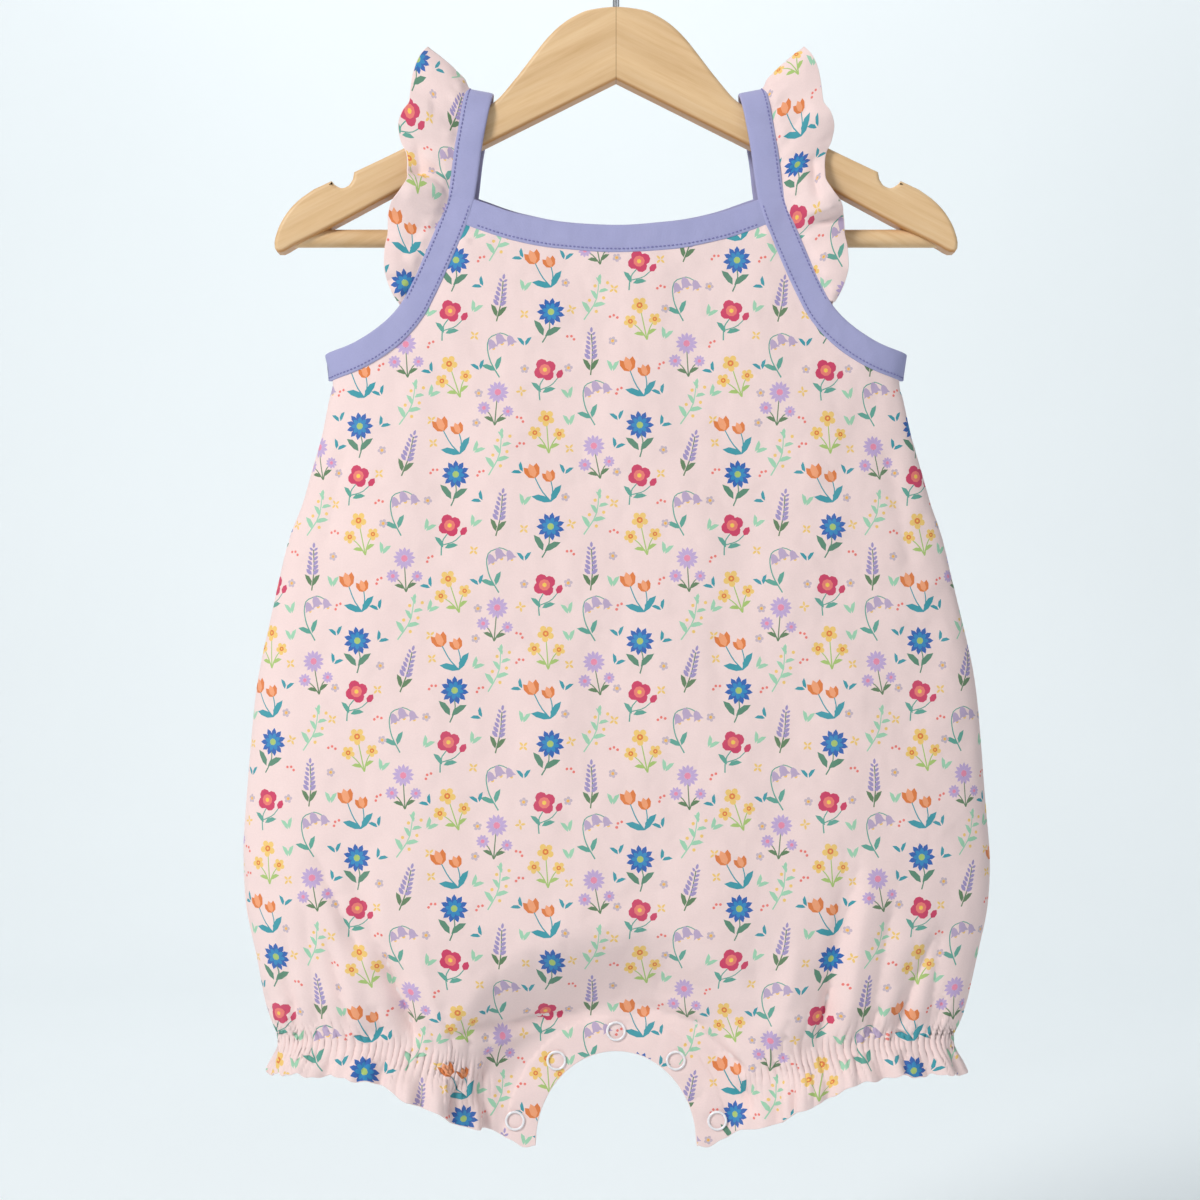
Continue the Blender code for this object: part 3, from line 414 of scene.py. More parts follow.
def gather_lift(angle, drop, face, x):
    """How far the fine gathers and the ruffle's waves lift the cloth."""
    share = np.interp(np.abs(angle), HEM_ANGLES, HEM_SHARES)
    side = np.sign(angle)
    past = drop - elastic_drop(angle)
    ruffle_drop = np.maximum(edge_drop(angle) - elastic_drop(angle), 1.0)
    down = np.clip(past / ruffle_drop, 0.0, 1.0)
    sway = 0.6 * np.sin(8.3 * share + side + face) + 0.35 * np.sin(23.0 * share + 2 * side - face)
    turns = GATHERS * share + sway
    number = np.floor(turns) + 100 * side + 10 * face
    bulge = np.sin(np.pi * (turns - np.floor(turns))) ** 0.7
    above = REACH_ABOVE[0] + (REACH_ABOVE[1] - REACH_ABOVE[0]) * chance(number, 1.0) ** 2
    below = REACH_BELOW[0] + (REACH_BELOW[1] - REACH_BELOW[0]) * chance(number, 2.0)
    fade = np.exp(-((past / np.where(past < 0, above, below)) ** 2))
    strength = 0.55 + 0.75 * chance(number, 3.0)
    level = 0.5 * np.exp(-((past / 11.0) ** 2))
    gather = GATHER_HEIGHT * (strength * bulge * fade - level)
    puff_phase = PUFFS * share + 0.4 * np.sin(9 * share + 3 * side) + 0.3 * face
    puff_level = np.exp(-(((past + 13.0) / 12.0) ** 2))
    puff = PUFF_HEIGHT * puff_level * (np.abs(np.sin(np.pi * puff_phase)) ** 0.8 - 0.5)
    phase = RUFFLE_WAVES * share + 0.35 * np.sin(5 * share + side) + 0.25 * face
    wave = np.sin(2 * np.pi * phase) + 0.25 * np.sin(4 * np.pi * phase + 1.0)
    ripple = np.sin(2 * np.pi * RUFFLE_RIPPLES * share + 2.0 * np.sin(11 * share + side))
    ruffle = (RUFFLE_HEIGHT * wave + RIPPLE_HEIGHT * ripple) * smoothstep(down)
    return (gather + puff + ruffle) * smoothstep((np.abs(x) - GATHERS_START) / GATHERS_BLEND)


def line_lift(x, y, folds):
    """Soft troughs and ridges along the straight lines of a table."""
    total = np.zeros(np.shape(x))
    for x_top, drop_top, x_low, drop_low, rise, half_width in zip(*folds.values()):
        run_x, run_y = x_low - x_top, drop_low - drop_top
        length = np.hypot(run_x, run_y)
        way = ((x - x_top) * run_x + (y - drop_top) * run_y) / length**2
        apart = ((x - x_top) * run_y - (y - drop_top) * run_x) / length
        ends = smoothstep(way / 0.45) * smoothstep((1.12 - way) / 0.25)
        total += rise * ends * np.exp(-(np.abs(apart / half_width) ** 1.5))
    return total


def drape_lift(x, drop):
    total = np.zeros(np.shape(x))
    for heading, length, rise, offset in DRAPE_WAVES:
        way = x * math.cos(math.radians(heading)) + drop * math.sin(math.radians(heading))
        total += rise * np.sin(2 * np.pi * way / length + offset)
    return total


def sewing_lift(angle, drop, x):
    """The thicker facing of the snapped edge, the dents of the snaps and the side seam."""
    edge = arch_distance(x, drop)
    total = PLACKET_STEP * smoothstep((PLACKET_FLAT - edge) / 1.4)
    for snap_x, snap_drop in SNAP_PLACES:
        apart = np.hypot(x - snap_x, drop - snap_drop)
        total -= SNAP_DENT * np.exp(-(((apart - 3.8) / 1.6) ** 2))
    from_seam = (np.pi / 2 - np.abs(angle)) * half_depth_at(drop) * 1.6
    return total - SEAM_DENT * np.exp(-((from_seam / 1.6) ** 2))


def body_place(angle, drop, face):
    """The middle of the body's cloth with all that lifts it."""
    flat = skin_point(angle, drop, face)
    x = flat[..., 0]
    folds, creases = (FRONT_FOLDS, FRONT_CREASES) if face == FRONT else (BACK_FOLDS, BACK_CREASES)
    calm = smoothstep((arch_distance(x, drop) - 10.0) / 20.0)
    lift = gather_lift(angle, drop, face, x) + sewing_lift(angle, drop, x)
    lift += line_lift(x, drop, folds)
    lift += CREASE_DEPTH * line_lift(x, drop, creases) * (0.35 + 0.65 * calm)
    lift += drape_lift(x * face, drop) * calm
    clear = smoothstep((drop - np.interp(np.abs(angle), *TOP_EDGES[face])) / BINDING_CLEARANCE)
    lift = lift * clear - BINDING_SINK * (1 - clear)
    lifted = flat + skin_normal(angle, drop, face) * lift[..., None]
    lifted[..., 1] = face * np.maximum(face * lifted[..., 1], 0.05)
    return lifted


def body_surface(angle, drop, face):
    """Places in the middle of the cloth and outward directions, with every fold in them."""
    outward = direction_of(body_place, angle, drop, face, 0.0012, 0.08)
    near_seam = smoothstep((np.abs(angle) - np.pi / 2 + 0.03) / 0.03)
    outward[:, 1] *= 1 - near_seam
    return body_place(angle, drop, face), unit(outward)


# ---- flat patterns of the body ----
class BodyPattern:
    """Turns places on the flat cloth into angles round the body, and back. A place on the flat
    cloth is the distance from the middle, measured round the body, and the drop."""

    def __init__(self):
        self.drops = np.arange(36.0, 512.0, 2.0)
        self.angles = np.linspace(0, np.pi / 2, 500)
        points = skin_point(*np.meshgrid(self.angles, self.drops), FRONT)
        steps = np.linalg.norm(np.diff(points, axis=1), axis=2)
        self.lengths = np.concatenate([np.zeros((len(self.drops), 1)), np.cumsum(steps, axis=1)], axis=1)
        shares = np.linspace(0, 1, 700)
        self.by_share = np.stack([np.interp(shares, row / row[-1], self.angles) for row in self.lengths])

    def row(self, drop):
        return (drop - self.drops[0]) / (self.drops[1] - self.drops[0])

    def across(self, angle, drop):
        column = np.abs(angle) / self.angles[1]
        return np.sign(angle) * bilinear(self.lengths, self.row(drop), column)

    def half_girth(self, drop):
        return np.interp(drop, self.drops, self.lengths[:, -1])

    def angle(self, across, drop):
        share = np.clip(np.abs(across) / self.half_girth(drop), 0.0, 1.0)
        column = share * (self.by_share.shape[1] - 1)
        return np.sign(across) * bilinear(self.by_share, self.row(drop), column)


PATTERN = BodyPattern()


# ---- bindings' middle lines ----
def armhole_route():
    """Middle line of the front half of the right armhole's binding, from the side seam to the
    strap's fold, with its outward directions."""
    points = corners_of(ARMHOLE_LINE)
    x, drop = smooth_line(points, np.linspace(0, 1, 500) ** 2 * along(points)[-1]).T
    angle = angle_of(x, drop)
    angle[0] = np.pi / 2
    route = skin_point(angle, drop, FRONT)
    outward = skin_normal(angle, drop, FRONT)
    turn = np.linspace(0, np.pi / 2, 40)[1:, None]
    across = unit(np.array([-STRAP_TILT, 0.0, 1.0]))
    centre = route[-1] - np.array([0.0, route[-1, 1], 0.0])
    cap_outward = np.cos(turn) * np.array([0.0, -1.0, 0.0]) + np.sin(turn) * across
    cap = centre + STRAP_RADIUS * cap_outward
    return np.concatenate([route, cap]), np.concatenate([outward, cap_outward])


def armhole_stations(side, count):
    """Closed ring of places, outward directions and directions across the binding."""
    route, outward = armhole_route()
    shares = np.arange(count // 2 + 1) / (count // 2)
    length = along(route)
    places = with_mirror(resampled(route, shares), (1, -1, 1))
    facing = with_mirror(between(shares * length[-1], length, outward), (1, -1, 1))
    places[0, 1] = 0.0
    facing[0] = (1.0, 0.0, 0.0)
    heading = unit(np.roll(places, -2, axis=0) - np.roll(places, 2, axis=0))
    across = unit(np.cross(heading, unit(facing)))
    facing = unit(np.cross(across, heading))
    flip = np.array([side, 1, 1])
    return places * flip, facing * flip, across * flip


def neck_stations(face, count, longer=0.0):
    """Places, outward directions and directions across the neck's binding, from left to right."""
    half_x = mirrored(NECK_LINE["half_x"])
    drops = mirrored(NECK_LINE["drop"], 1)
    end = half_x[-1] + longer
    rise = BACK_NECK_RISE if face == BACK else 0.0
    x = np.linspace(-end, end, count)
    slope = (drops[-1] - drops[-2]) / (half_x[-1] - half_x[-2])
    drop = smooth_curve(half_x, drops)(x) + slope * np.maximum(np.abs(x) - half_x[-1], 0.0) - rise
    angle = angle_of(x, drop)
    places = skin_point(angle, drop, face)
    heading = unit(np.gradient(places, axis=0))
    across = unit(np.cross(heading, skin_normal(angle, drop, face))) * -face
    return places, face * unit(np.cross(heading, across)), across


EDGE_NECK_STATIONS, EDGE_ARM_STATIONS = 90, 320
ARM_EDGE_START = 80.0  # drop, a little above the top corner of the panel


def top_edge(face, reach):
    """Angles and drops of the panel's upper edge on its right half, at a reach from the
    bindings' middle lines."""
    places, _, across = neck_stations(face, EDGE_NECK_STATIONS)
    neck = places + across * reach
    neck = neck[neck[:, 0] > -1.0]
    places, _, across = armhole_stations(RIGHT, EDGE_ARM_STATIONS)
    half = EDGE_ARM_STATIONS // 2
    chosen = np.arange(0, half + 1) if face == FRONT else np.arange(half, 2 * half + 1) % (2 * half)
    arm = (places - across * reach)[chosen]
    arm = arm[arm[:, 2] < height(ARM_EDGE_START)]
    arm = arm[np.argsort(arm[:, 0])]
    angles = np.linspace(0, np.pi / 2, 600)
    neck_drop = -neck[:, 2] - HOOK_RISE
    arm_drop = -arm[:, 2] - HOOK_RISE
    neck_angles = angle_of(np.maximum(neck[:, 0], 0.0), neck_drop)
    arm_angles = angle_of(arm[:, 0], arm_drop)
    arm_angles[-1] = np.pi / 2
    by_neck = np.interp(angles, neck_angles, neck_drop, right=0.0)
    by_arm = np.interp(angles, arm_angles, arm_drop, left=0.0)
    corner = NECK_LINE["drop"][-1] - (BACK_NECK_RISE if face == BACK else 0.0)
    return angles, np.maximum(np.maximum(by_neck, by_arm), corner)


TOP_EDGES = {face: top_edge(face, TUCK_UNDER) for face in (FRONT, BACK)}


# ---- shapes of the print, in millimetres with y downward ----
INKS = {
    "ground": "F4DAD6",
    "blue": "1D5FB0",
    "azure": "1C86BE",
    "crimson": "CF3560",
    "coral": "EC786E",
    "orange": "E27A35",
    "apricot": "F4A070",
    "gold": "F3C96E",
    "yolk": "F8CA52",
    "lilac": "BCA6C6",
    "orchid": "C2A8D4",
    "pink": "EA8AA8",
    "plum": "A092C2",
    "teal": "2B98A6",
    "leaf": "57A392",
    "moss": "54896F",
    "olive": "5C8058",
    "grass": "A7C56C",
    "mint": "9DD2B0",
    "mist": "C9B6C3",
}
INK_NAMES = list(INKS)
UP = -90  # heading of a shape that grows up the garment


def turned(points, degrees, x=0.0, y=0.0):
    """Points turned round the origin and moved to a place."""
    a = math.radians(degrees)
    turn = np.array([[math.cos(a), math.sin(a)], [-math.sin(a), math.cos(a)]])
    return np.asarray(points) @ turn + (x, y)


def disc(x, y, radius, sides=7):
    turn = (np.arange(sides) + 0.3) * 2 * np.pi / sides  # turned a little, so that no side lies level
    return np.stack([x + radius * np.cos(turn), y + radius * np.sin(turn)], axis=1)


def blade(x, y, length, width, degrees, bend=0.0):
    """A pointed leaf or petal that starts at a place and points along a heading."""
    way = np.array([0.0, 0.28, 0.7, 1.0])
    half = np.array([0.0, 0.88, 0.84, 0.0]) * width / 2
    arc = bend * 4 * way * (1 - way)
    upper = np.stack([way * length, arc + half], axis=1)
    lower = np.stack([way * length, arc - half], axis=1)[-2:0:-1]
    return turned(np.concatenate([upper, lower]), degrees, x, y)


def ribbon(points, start, end):
    """A stem: a narrow strip along a smooth line through the points, from one width to another."""
    points = np.asarray(points, float)
    share = np.linspace(0, 1, 3 * len(points) - 3)
    line = smooth_line(points, share * along(points)[-1])
    way = unit(np.gradient(line, axis=0))
    sideways = np.stack([-way[:, 1], way[:, 0]], axis=1) * (start + (end - start) * share)[:, None] / 2
    return np.concatenate([line + sideways, (line - sideways)[::-1]])


# ---- the print's flowers and sprigs, each about its own middle and growing up ----
def stalk(foot, top, bow, ink):
    """A stem between two heights, bowed to one side."""
    return [(ribbon([(0.0, foot), (bow, (foot + top) / 2), (0.0, top)], 0.6, 0.45), ink)]


def leaf_pair(y, length, spread, ink, x=0.0):
    """Two leaves that leave a stem at one height, one on either side of it."""
    return [
        (blade(x + 0.35 * way, y, length, 0.36 * length, UP + way * spread, -way * 0.5), ink)
        for way in (-1, 1)
    ]


def rays(x, y, inner, length, width, count, ink):
    """A ring of narrow petals that point away from a place, from an inner radius."""
    shapes = []
    for k in range(count):
        heading = 360 * k / count
        foot = turned([(inner, 0.0)], heading, x, y)[0]
        shapes.append((blade(*foot, length - inner, width, heading), ink))
    return shapes


def ring_flower(x, y, radius, petals, inks):
    """Round petals about an eye, with a dot in it."""
    reach = 0.64 * radius
    size = min(1.1 * math.pi * reach / petals, 0.4 * radius)
    ring = 0.5 + np.arange(petals) * 2 * math.pi / petals
    shapes = [(disc(x + reach * math.cos(a), y + reach * math.sin(a), size, 8), inks[0]) for a in ring]
    return shapes + [(disc(x, y, 0.38 * radius, 9), inks[1]), (disc(x, y, 0.17 * radius, 5), inks[2])]


def cornflower():
    """One wide blue head of pointed petals in two rings, over a pair of long leaves."""
    shapes = stalk(10.0, -2.0, 1.4, "moss") + leaf_pair(7.0, 8.0, 46, "moss")
    shapes += rays(0.0, -4.0, 1.0, 6.2, 2.5, 11, "blue") + rays(0.0, -4.0, 0.9, 4.0, 2.0, 8, "azure")
    return shapes + [(disc(0.0, -4.0, 1.5, 8), "grass")]


def poppies():
    """A red flower of four broad petals, with a bud beside it."""
    shapes = stalk(9.5, -2.0, -1.6, "leaf") + leaf_pair(6.0, 6.0, 58, "leaf")
    shapes.insert(1, (ribbon([(-0.8, 5.0), (3.6, 1.5), (5.6, -2.6)], 0.5, 0.4), "leaf"))
    for k in range(4):
        shapes.append((disc(*turned([(2.5, 0.0)], 45 + 90 * k, -1.0, -4.0)[0], 2.6, 9), "crimson"))
    shapes += [(disc(-1.0, -4.0, 2.5, 9), "coral"), (disc(-1.0, -4.0, 1.0, 6), "yolk")]
    return shapes + [(blade(5.2, -1.6, 4.4, 3.0, UP + 14), "crimson")]


def tulips():
    """Two orange cups of three petals, side by side."""
    shapes = leaf_pair(9.5, 8.4, 52, "teal")
    for x, top, size in ((-2.6, -3.4, 1.0), (3.4, 0.6, 0.8)):
        shapes.append((ribbon([(0.0, 9.5), (0.8 * x, 0.5 * top + 4.5), (x, top)], 0.6, 0.45), "teal"))
        for way, ink in ((-1, "orange"), (1, "orange"), (0, "apricot")):
            foot = (x + 0.3 * way, top + 0.6 + 0.2 * abs(way))
            shapes.append((blade(*foot, 6.6 * size, 3.5 * size, UP + 24 * way), ink))
    return shapes


def buttercups():
    """Three yellow flowers of five petals on a forked stem."""
    shapes = []
    for x, y, radius in ((0.0, -6.5, 3.6), (-5.4, -0.4, 2.9), (5.2, 0.8, 2.7)):
        shapes.append((ribbon([(0.0, 9.0), (0.35 * x, 0.5 * y + 4.5), (x, y)], 0.6, 0.4), "grass"))
        shapes += ring_flower(x, y, radius, 5, ("gold", "orange", "yolk"))
    return shapes + leaf_pair(7.0, 5.0, 70, "grass")


def bells():
    """Three lilac bells that hang from an arched stem."""
    arch = [(-4.4, 9.5), (-5.2, 2.0), (-4.0, -4.6), (-0.6, -8.4), (3.6, -8.2), (6.6, -5.4)]
    shapes = [(ribbon(arch, 0.6, 0.4), "leaf")]
    half = np.array([(0.12, 0.0), (0.32, 0.3), (0.38, 0.7), (0.54, 1.0), (0.2, 0.9)])
    bell = np.concatenate([half, [(0.0, 1.06)], half[::-1] * (-1, 1)])
    for x, y, size in ((-1.6, -7.4, 4.2), (2.6, -8.4, 4.8), (6.6, -5.6, 4.2)):
        shapes.append((disc(x, y + size, 0.17 * size, 6), "yolk"))
        shapes.append((bell * size + (x, y), "lilac"))
    return shapes + leaf_pair(6.0, 6.4, 44, "leaf", -4.7)


def lavender():
    """A violet spike of buds in pairs that grow smaller towards its tip."""
    shapes = stalk(10.0, -8.0, 0.7, "olive") + leaf_pair(8.0, 6.0, 32, "olive")
    for k in range(6):
        size = 3.6 - 0.3 * k
        for way in (-1, 1):
            shapes.append((blade(0.25 * way, 3.0 - 2.1 * k, size, 0.52 * size, UP + way * 48), "plum"))
    return shapes + [(blade(0.0, -8.6, 2.6, 1.3, UP), "plum")]


def asters():
    """Three flowers of narrow petals about a pink eye, on one branched stem."""
    shapes = []
    for x, y, radius, petals in ((0.5, -4.6, 4.9, 13), (-5.2, 2.6, 3.0, 10), (5.4, 3.6, 2.6, 10)):
        shapes.append((ribbon([(0.0, 10.0), (0.45 * x, 0.5 * y + 4.0), (x, y)], 0.55, 0.4), "olive"))
        shapes += rays(x, y, 0.22 * radius, radius, 4.4 * radius / petals, petals, "orchid")
        shapes.append((disc(x, y, 0.3 * radius, 8), "pink"))
    return shapes + leaf_pair(8.6, 5.0, 66, "olive")


def leafy_twig(ink, dots):
    """A bowed twig with leaves by turns on either side, and a dot of another ink past each."""
    shapes = [(ribbon([(0.0, 9.5), (1.6, 0.0), (-0.6, -9.0)], 0.6, 0.4), ink)]
    for k in range(5):
        way = 1 if k % 2 else -1
        y = 6.0 - 3.4 * k
        x = 1.6 * (1 - (y / 9.5) ** 2)
        shapes.append((blade(x, y, 6.2 - 0.6 * k, 2.3 - 0.2 * k, UP + way * 54, -0.6 * way), ink))
        shapes.append((disc(x - 2.6 * way, y - 2.0, 0.8, 6), dots))
    return shapes + [(blade(-0.6, -8.4, 3.6, 1.7, UP - 10), ink)]


def placed(shapes, x, y, degrees=0.0):
    """A motif's shapes, turned and moved to a place."""
    return [(turned(outline, degrees, x, y), ink) for outline, ink in shapes]


CELL = (20.5, 23.5)  # one motif's share of the cloth
COLUMNS, ROWS = 6, 4
REPEAT = (COLUMNS * CELL[0], ROWS * CELL[1])  # width and height of the print's repeat
TWIG = leafy_twig("mint", "gold")
MOTIFS = (cornflower(), TWIG, poppies(), lavender(), buttercups(), bells(), tulips(), asters())
FILLERS = (
    ring_flower(0.0, 0.0, 1.9, 5, ("mist", "yolk", "coral")),
    leaf_pair(1.5, 4.6, 38, "teal"),
    [(disc(1.6 * k, 0.8 * (k % 2), 0.65, 6), "coral") for k in (-1, 0, 1)],
    rays(0.0, 0.0, 0.15, 2.4, 1.1, 4, "gold"),
    leaf_pair(1.5, 5.2, 26, "mint"),
)


def repeat_shapes():
    """Every shape of one repeat. Each cell holds a motif a little off its middle and two small
    shapes beside it, and every other column lies half a cell lower."""
    shapes = []
    for row in range(ROWS):
        for column in range(COLUMNS):
            index = row * COLUMNS + column
            x = (column + 0.5) * CELL[0] + 1.3 * math.sin(1.7 * index)
            y = (row + 0.5 * (column % 2)) * CELL[1] + 1.6 * math.cos(2.9 * index)
            shapes += placed(MOTIFS[3 * index % len(MOTIFS)], x, y, 24 * math.sin(2.4 * index))
            for k, share in enumerate((0.29, -0.21)):
                filler = FILLERS[(2 * index + k) % len(FILLERS)]
                side = x + (0.5 + 0.04 * math.sin(index)) * CELL[0]
                shapes += placed(filler, side, y + share * CELL[1], 50 * math.sin(3.7 * index + k))
    return shapes


REPEAT_SHAPES = repeat_shapes()


def print_over(outline, anchor, way=1):
    """The shapes of all repeats that touch an outline's box on the flat cloth. The anchor is where
    a repeat's own origin lies. A way of -1 turns the print the other way round."""
    shapes = []
    scale = np.array([way, 1.0])
    lowest, highest = (outline / scale).min(axis=0), (outline / scale).max(axis=0)
    first = np.floor((lowest - anchor) / REPEAT).astype(int) - 1
    last = np.ceil((highest - anchor) / REPEAT).astype(int)
    for row in range(first[1], last[1] + 1):
        for column in range(first[0], last[0] + 1):
            move = np.array(anchor) + (column * REPEAT[0], row * REPEAT[1])
            for shape, ink in REPEAT_SHAPES:
                moved = shape + move
                if (moved.max(axis=0) > lowest).all() and (moved.min(axis=0) < highest).all():
                    shapes.append((moved * scale, ink))
    return shapes


# ---- cloth meshes ----
def anticlockwise(outline):
    """The outline's points, in the order that the division into triangles needs."""
    x, y = outline.T
    area = (x * np.roll(y, -1) - np.roll(x, -1) * y).sum()
    return outline if area > 0 else outline[::-1]


def divided(outline, loose, shapes):
    """Triangles that fill the outline, with every shape's edge in them, each one's ink, and the
    corner at each point of the outline."""
    points = [Vector(p) for p in anticlockwise(outline)]
    faces = [list(range(len(outline)))]
    inks = [0]
    for shape, ink in shapes:
        faces.append(list(range(len(points), len(points) + len(shape))))
        points += [Vector(p) for p in anticlockwise(shape)]
        inks.append(INK_NAMES.index(ink))
    points += [Vector(p) for p in loose]
    corners, _, triangles, given, _, origins = delaunay_2d_cdt(points, [], faces, 0, 1e-5, True)
    inside = [i for i, origin in enumerate(origins) if origin and min(origin) == 0]
    triangles = np.array([triangles[i] for i in inside])
    ink = np.array([inks[max(origins[i])] for i in inside])
    on_outline = np.zeros(len(outline), int)
    for corner, places in enumerate(given):
        for place in places:
            if place < len(outline):
                on_outline[place] = corner
    return np.array(corners), triangles, ink, on_outline


def rim_loop(triangles):
    """The corners along the edge of the triangles, in their direction."""
    edges = np.concatenate([triangles[:, [0, 1]], triangles[:, [1, 2]], triangles[:, [2, 0]]])
    _, index, count = np.unique(np.sort(edges, axis=1), axis=0, return_index=True, return_counts=True)
    following = dict(edges[index[count == 1]].tolist())
    loop = [next(iter(following))]
    while following[loop[-1]] != loop[0]:
        loop.append(following[loop[-1]])
    return np.array(loop)


def looks_of(points, faces):
    """Directions across the faces, as long as they are large."""
    corners = points[faces]
    return np.cross(corners[:, 1] - corners[:, 0], corners[:, 2] - corners[:, 0])


def halved(*corners):
    """Two triangles for each face of four corners."""
    return [np.stack([corners[0], *pair], axis=1) for pair in (corners[1:3], corners[2:4])]


RIM_TURNS = np.radians([50.0, 115.0, 180.0])


def rim_of(edge, outward, turned_over):
    """Rings of corners that turn from the edge of the printed face to that of the reverse, and
    their directions."""
    run = unit(np.roll(edge, -1, axis=0) - np.roll(edge, 1, axis=0))
    away = unit(np.cross(run, outward)) * (-1 if turned_over else 1)
    half = (CLOTH_OUT + CLOTH_IN) / 2
    centre = edge + outward * (CLOTH_OUT - half)
    directions = [outward * math.cos(turn) + away * math.sin(turn) for turn in RIM_TURNS]
    return [centre + direction * half for direction in directions], directions


def cloth_mesh(name, outline, loose, loose_inside, shapes, place, materials):
    """A closed piece of cloth: its printed face, a rounded rim and its reverse. place carries
    places on the flat cloth to the middle of the cloth in space, with outward directions."""
    flat, triangles, ink, _ = divided(outline, loose, shapes)
    loop = rim_loop(triangles)
    middle, outward = place(flat)
    turned_over = (looks_of(middle, triangles) * outward[triangles[:, 0]]).sum() < 0
    rings, ring_directions = rim_of(middle[loop], outward[loop], turned_over)
    faces, previous = [triangles], loop
    for k in range(len(rings)):
        ring = np.arange(len(loop)) + len(flat) + k * len(loop)
        faces += halved(np.roll(previous, -1), previous, ring, np.roll(ring, -1))
        previous = ring
    back_flat, back_triangles, _, on_outline = divided(flat[loop], loose_inside, [])
    back_middle, back_outward = place(back_flat)
    joined = np.arange(len(back_flat)) + previous[-1] + 1
    joined[on_outline] = previous
    faces = np.concatenate([*faces, joined[back_triangles][:, ::-1]])
    inks, kinds = np.zeros((2, len(faces)), int)
    inks[: len(ink)] = ink
    kinds[-len(back_triangles) :] = 1
    points = np.concatenate([middle + outward * CLOTH_OUT, *rings, back_middle - back_outward * CLOTH_IN])
    directions = np.concatenate([outward, *ring_directions, -back_outward])
    places = np.concatenate([flat, *[flat[loop]] * len(rings), back_flat])
    used, faces = np.unique(faces, return_inverse=True)
    faces = faces.reshape(-1, 3)
    return new_piece(
        name,
        points[used],
        faces[:, ::-1] if turned_over else faces,
        materials,
        normals=directions[used],
        flat=places[used],
        inks=inks,
        kinds=kinds,
    )


def linear(code):
    """A colour code's red, green and blue in linear light."""
    values = np.array([int(code[i : i + 2], 16) for i in (0, 2, 4)]) / 255
    return np.where(values <= 0.04045, values / 12.92, ((values + 0.055) / 1.055) ** 2.4)


def in_scene(name, data):
    """A new object of the scene."""
    made = bpy.data.objects.new(name, data)
    bpy.context.collection.objects.link(made)
    return made


def fill(elements, field, values, kind=np.float32):
    """Gives a mesh's elements one value or vector each."""
    elements.foreach_set(field, np.asarray(values).astype(kind).ravel())


def new_piece(name, points, faces, materials, normals=None, flat=None, inks=None, kinds=None):
    """An object from arrays, in millimetres. faces has three or four corners a row."""
    mesh = bpy.data.meshes.new(name)
    mesh.vertices.add(len(points))
    fill(mesh.vertices, "co", points * MM)
    mesh.loops.add(faces.size)
    fill(mesh.loops, "vertex_index", faces, np.int32)
    mesh.polygons.add(len(faces))
    fill(mesh.polygons, "loop_start", np.arange(0, faces.size, faces.shape[1]), np.int32)
    for material in materials:
        mesh.materials.append(material)
    if kinds is not None:
        fill(mesh.polygons, "material_index", kinds, np.int32)
    if flat is not None:
        fill(mesh.uv_layers.new(name="flat_cloth").data, "uv", flat[faces.ravel()])
    if inks is not None:
        colours = np.array([[*linear(code), 1.0] for code in INKS.values()])
        layer = mesh.attributes.new("print_colour", "FLOAT_COLOR", "FACE")
        fill(layer.data, "color", colours[inks])
    mesh.update(calc_edges=True)
    mesh.validate()
    mesh.shade_smooth()
    if normals is not None:
        mesh.normals_split_custom_set_from_vertices(unit(normals).astype(np.float32))
    piece = in_scene(name, mesh)
    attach(piece, "root")
    return piece


def lattice(lowest, highest, step_x, step_y):
    """Staggered points over a rectangle."""
    xs = np.arange(lowest[0], highest[0], step_x)
    ys = np.arange(lowest[1], highest[1], step_y)
    x, y = np.meshgrid(xs, ys)
    x = x + (np.arange(len(ys)) % 2)[:, None] * step_x / 2
    return np.stack([x.ravel(), y.ravel()], axis=1)


TOP_POINTS, SEAM_POINTS, ARCH_POINTS, HEM_POINTS = 150, 330, 70, 240  # on half an outline


def body_outline(face):
    """The panel's outline on the flat cloth, from the middle of its top edge round and back to it."""
    angles, drops = TOP_EDGES[face]
    top = np.stack([PATTERN.across(angles, drops), drops], axis=1)
    top = resampled(top, np.linspace(0, 1, TOP_POINTS))
    seam_drops = np.linspace(drops[-1], edge_drop(np.pi / 2), SEAM_POINTS)[1:-1]
    seam = np.stack([PATTERN.half_girth(seam_drops), seam_drops], axis=1)
    hem = np.interp(np.linspace(0, 1, HEM_POINTS), HEM_SHARES, HEM_ANGLES)
    arch = np.linspace(0, CORNER_ANGLE, ARCH_POINTS)[:-1]
    angles = np.concatenate([arch, hem])
    low = np.stack([PATTERN.across(angles, edge_drop(angles)), edge_drop(angles)], axis=1)
    return with_mirror(np.concatenate([top, seam, low[::-1]]), (-1, 1))


CREASED_BELOW = 368.0  # drop
GATHERED_ABOVE = 13.0  # how far above the elastic the close points of the gathers begin
SNAP_ZONE, STEP_ZONE, SEAM_ZONE = 6.5, 2.5, 5.0  # round a snap, a stepped edge and a side seam
LATTICE_BOX = ((-185.0, 60.0), (185.0, 506.0))


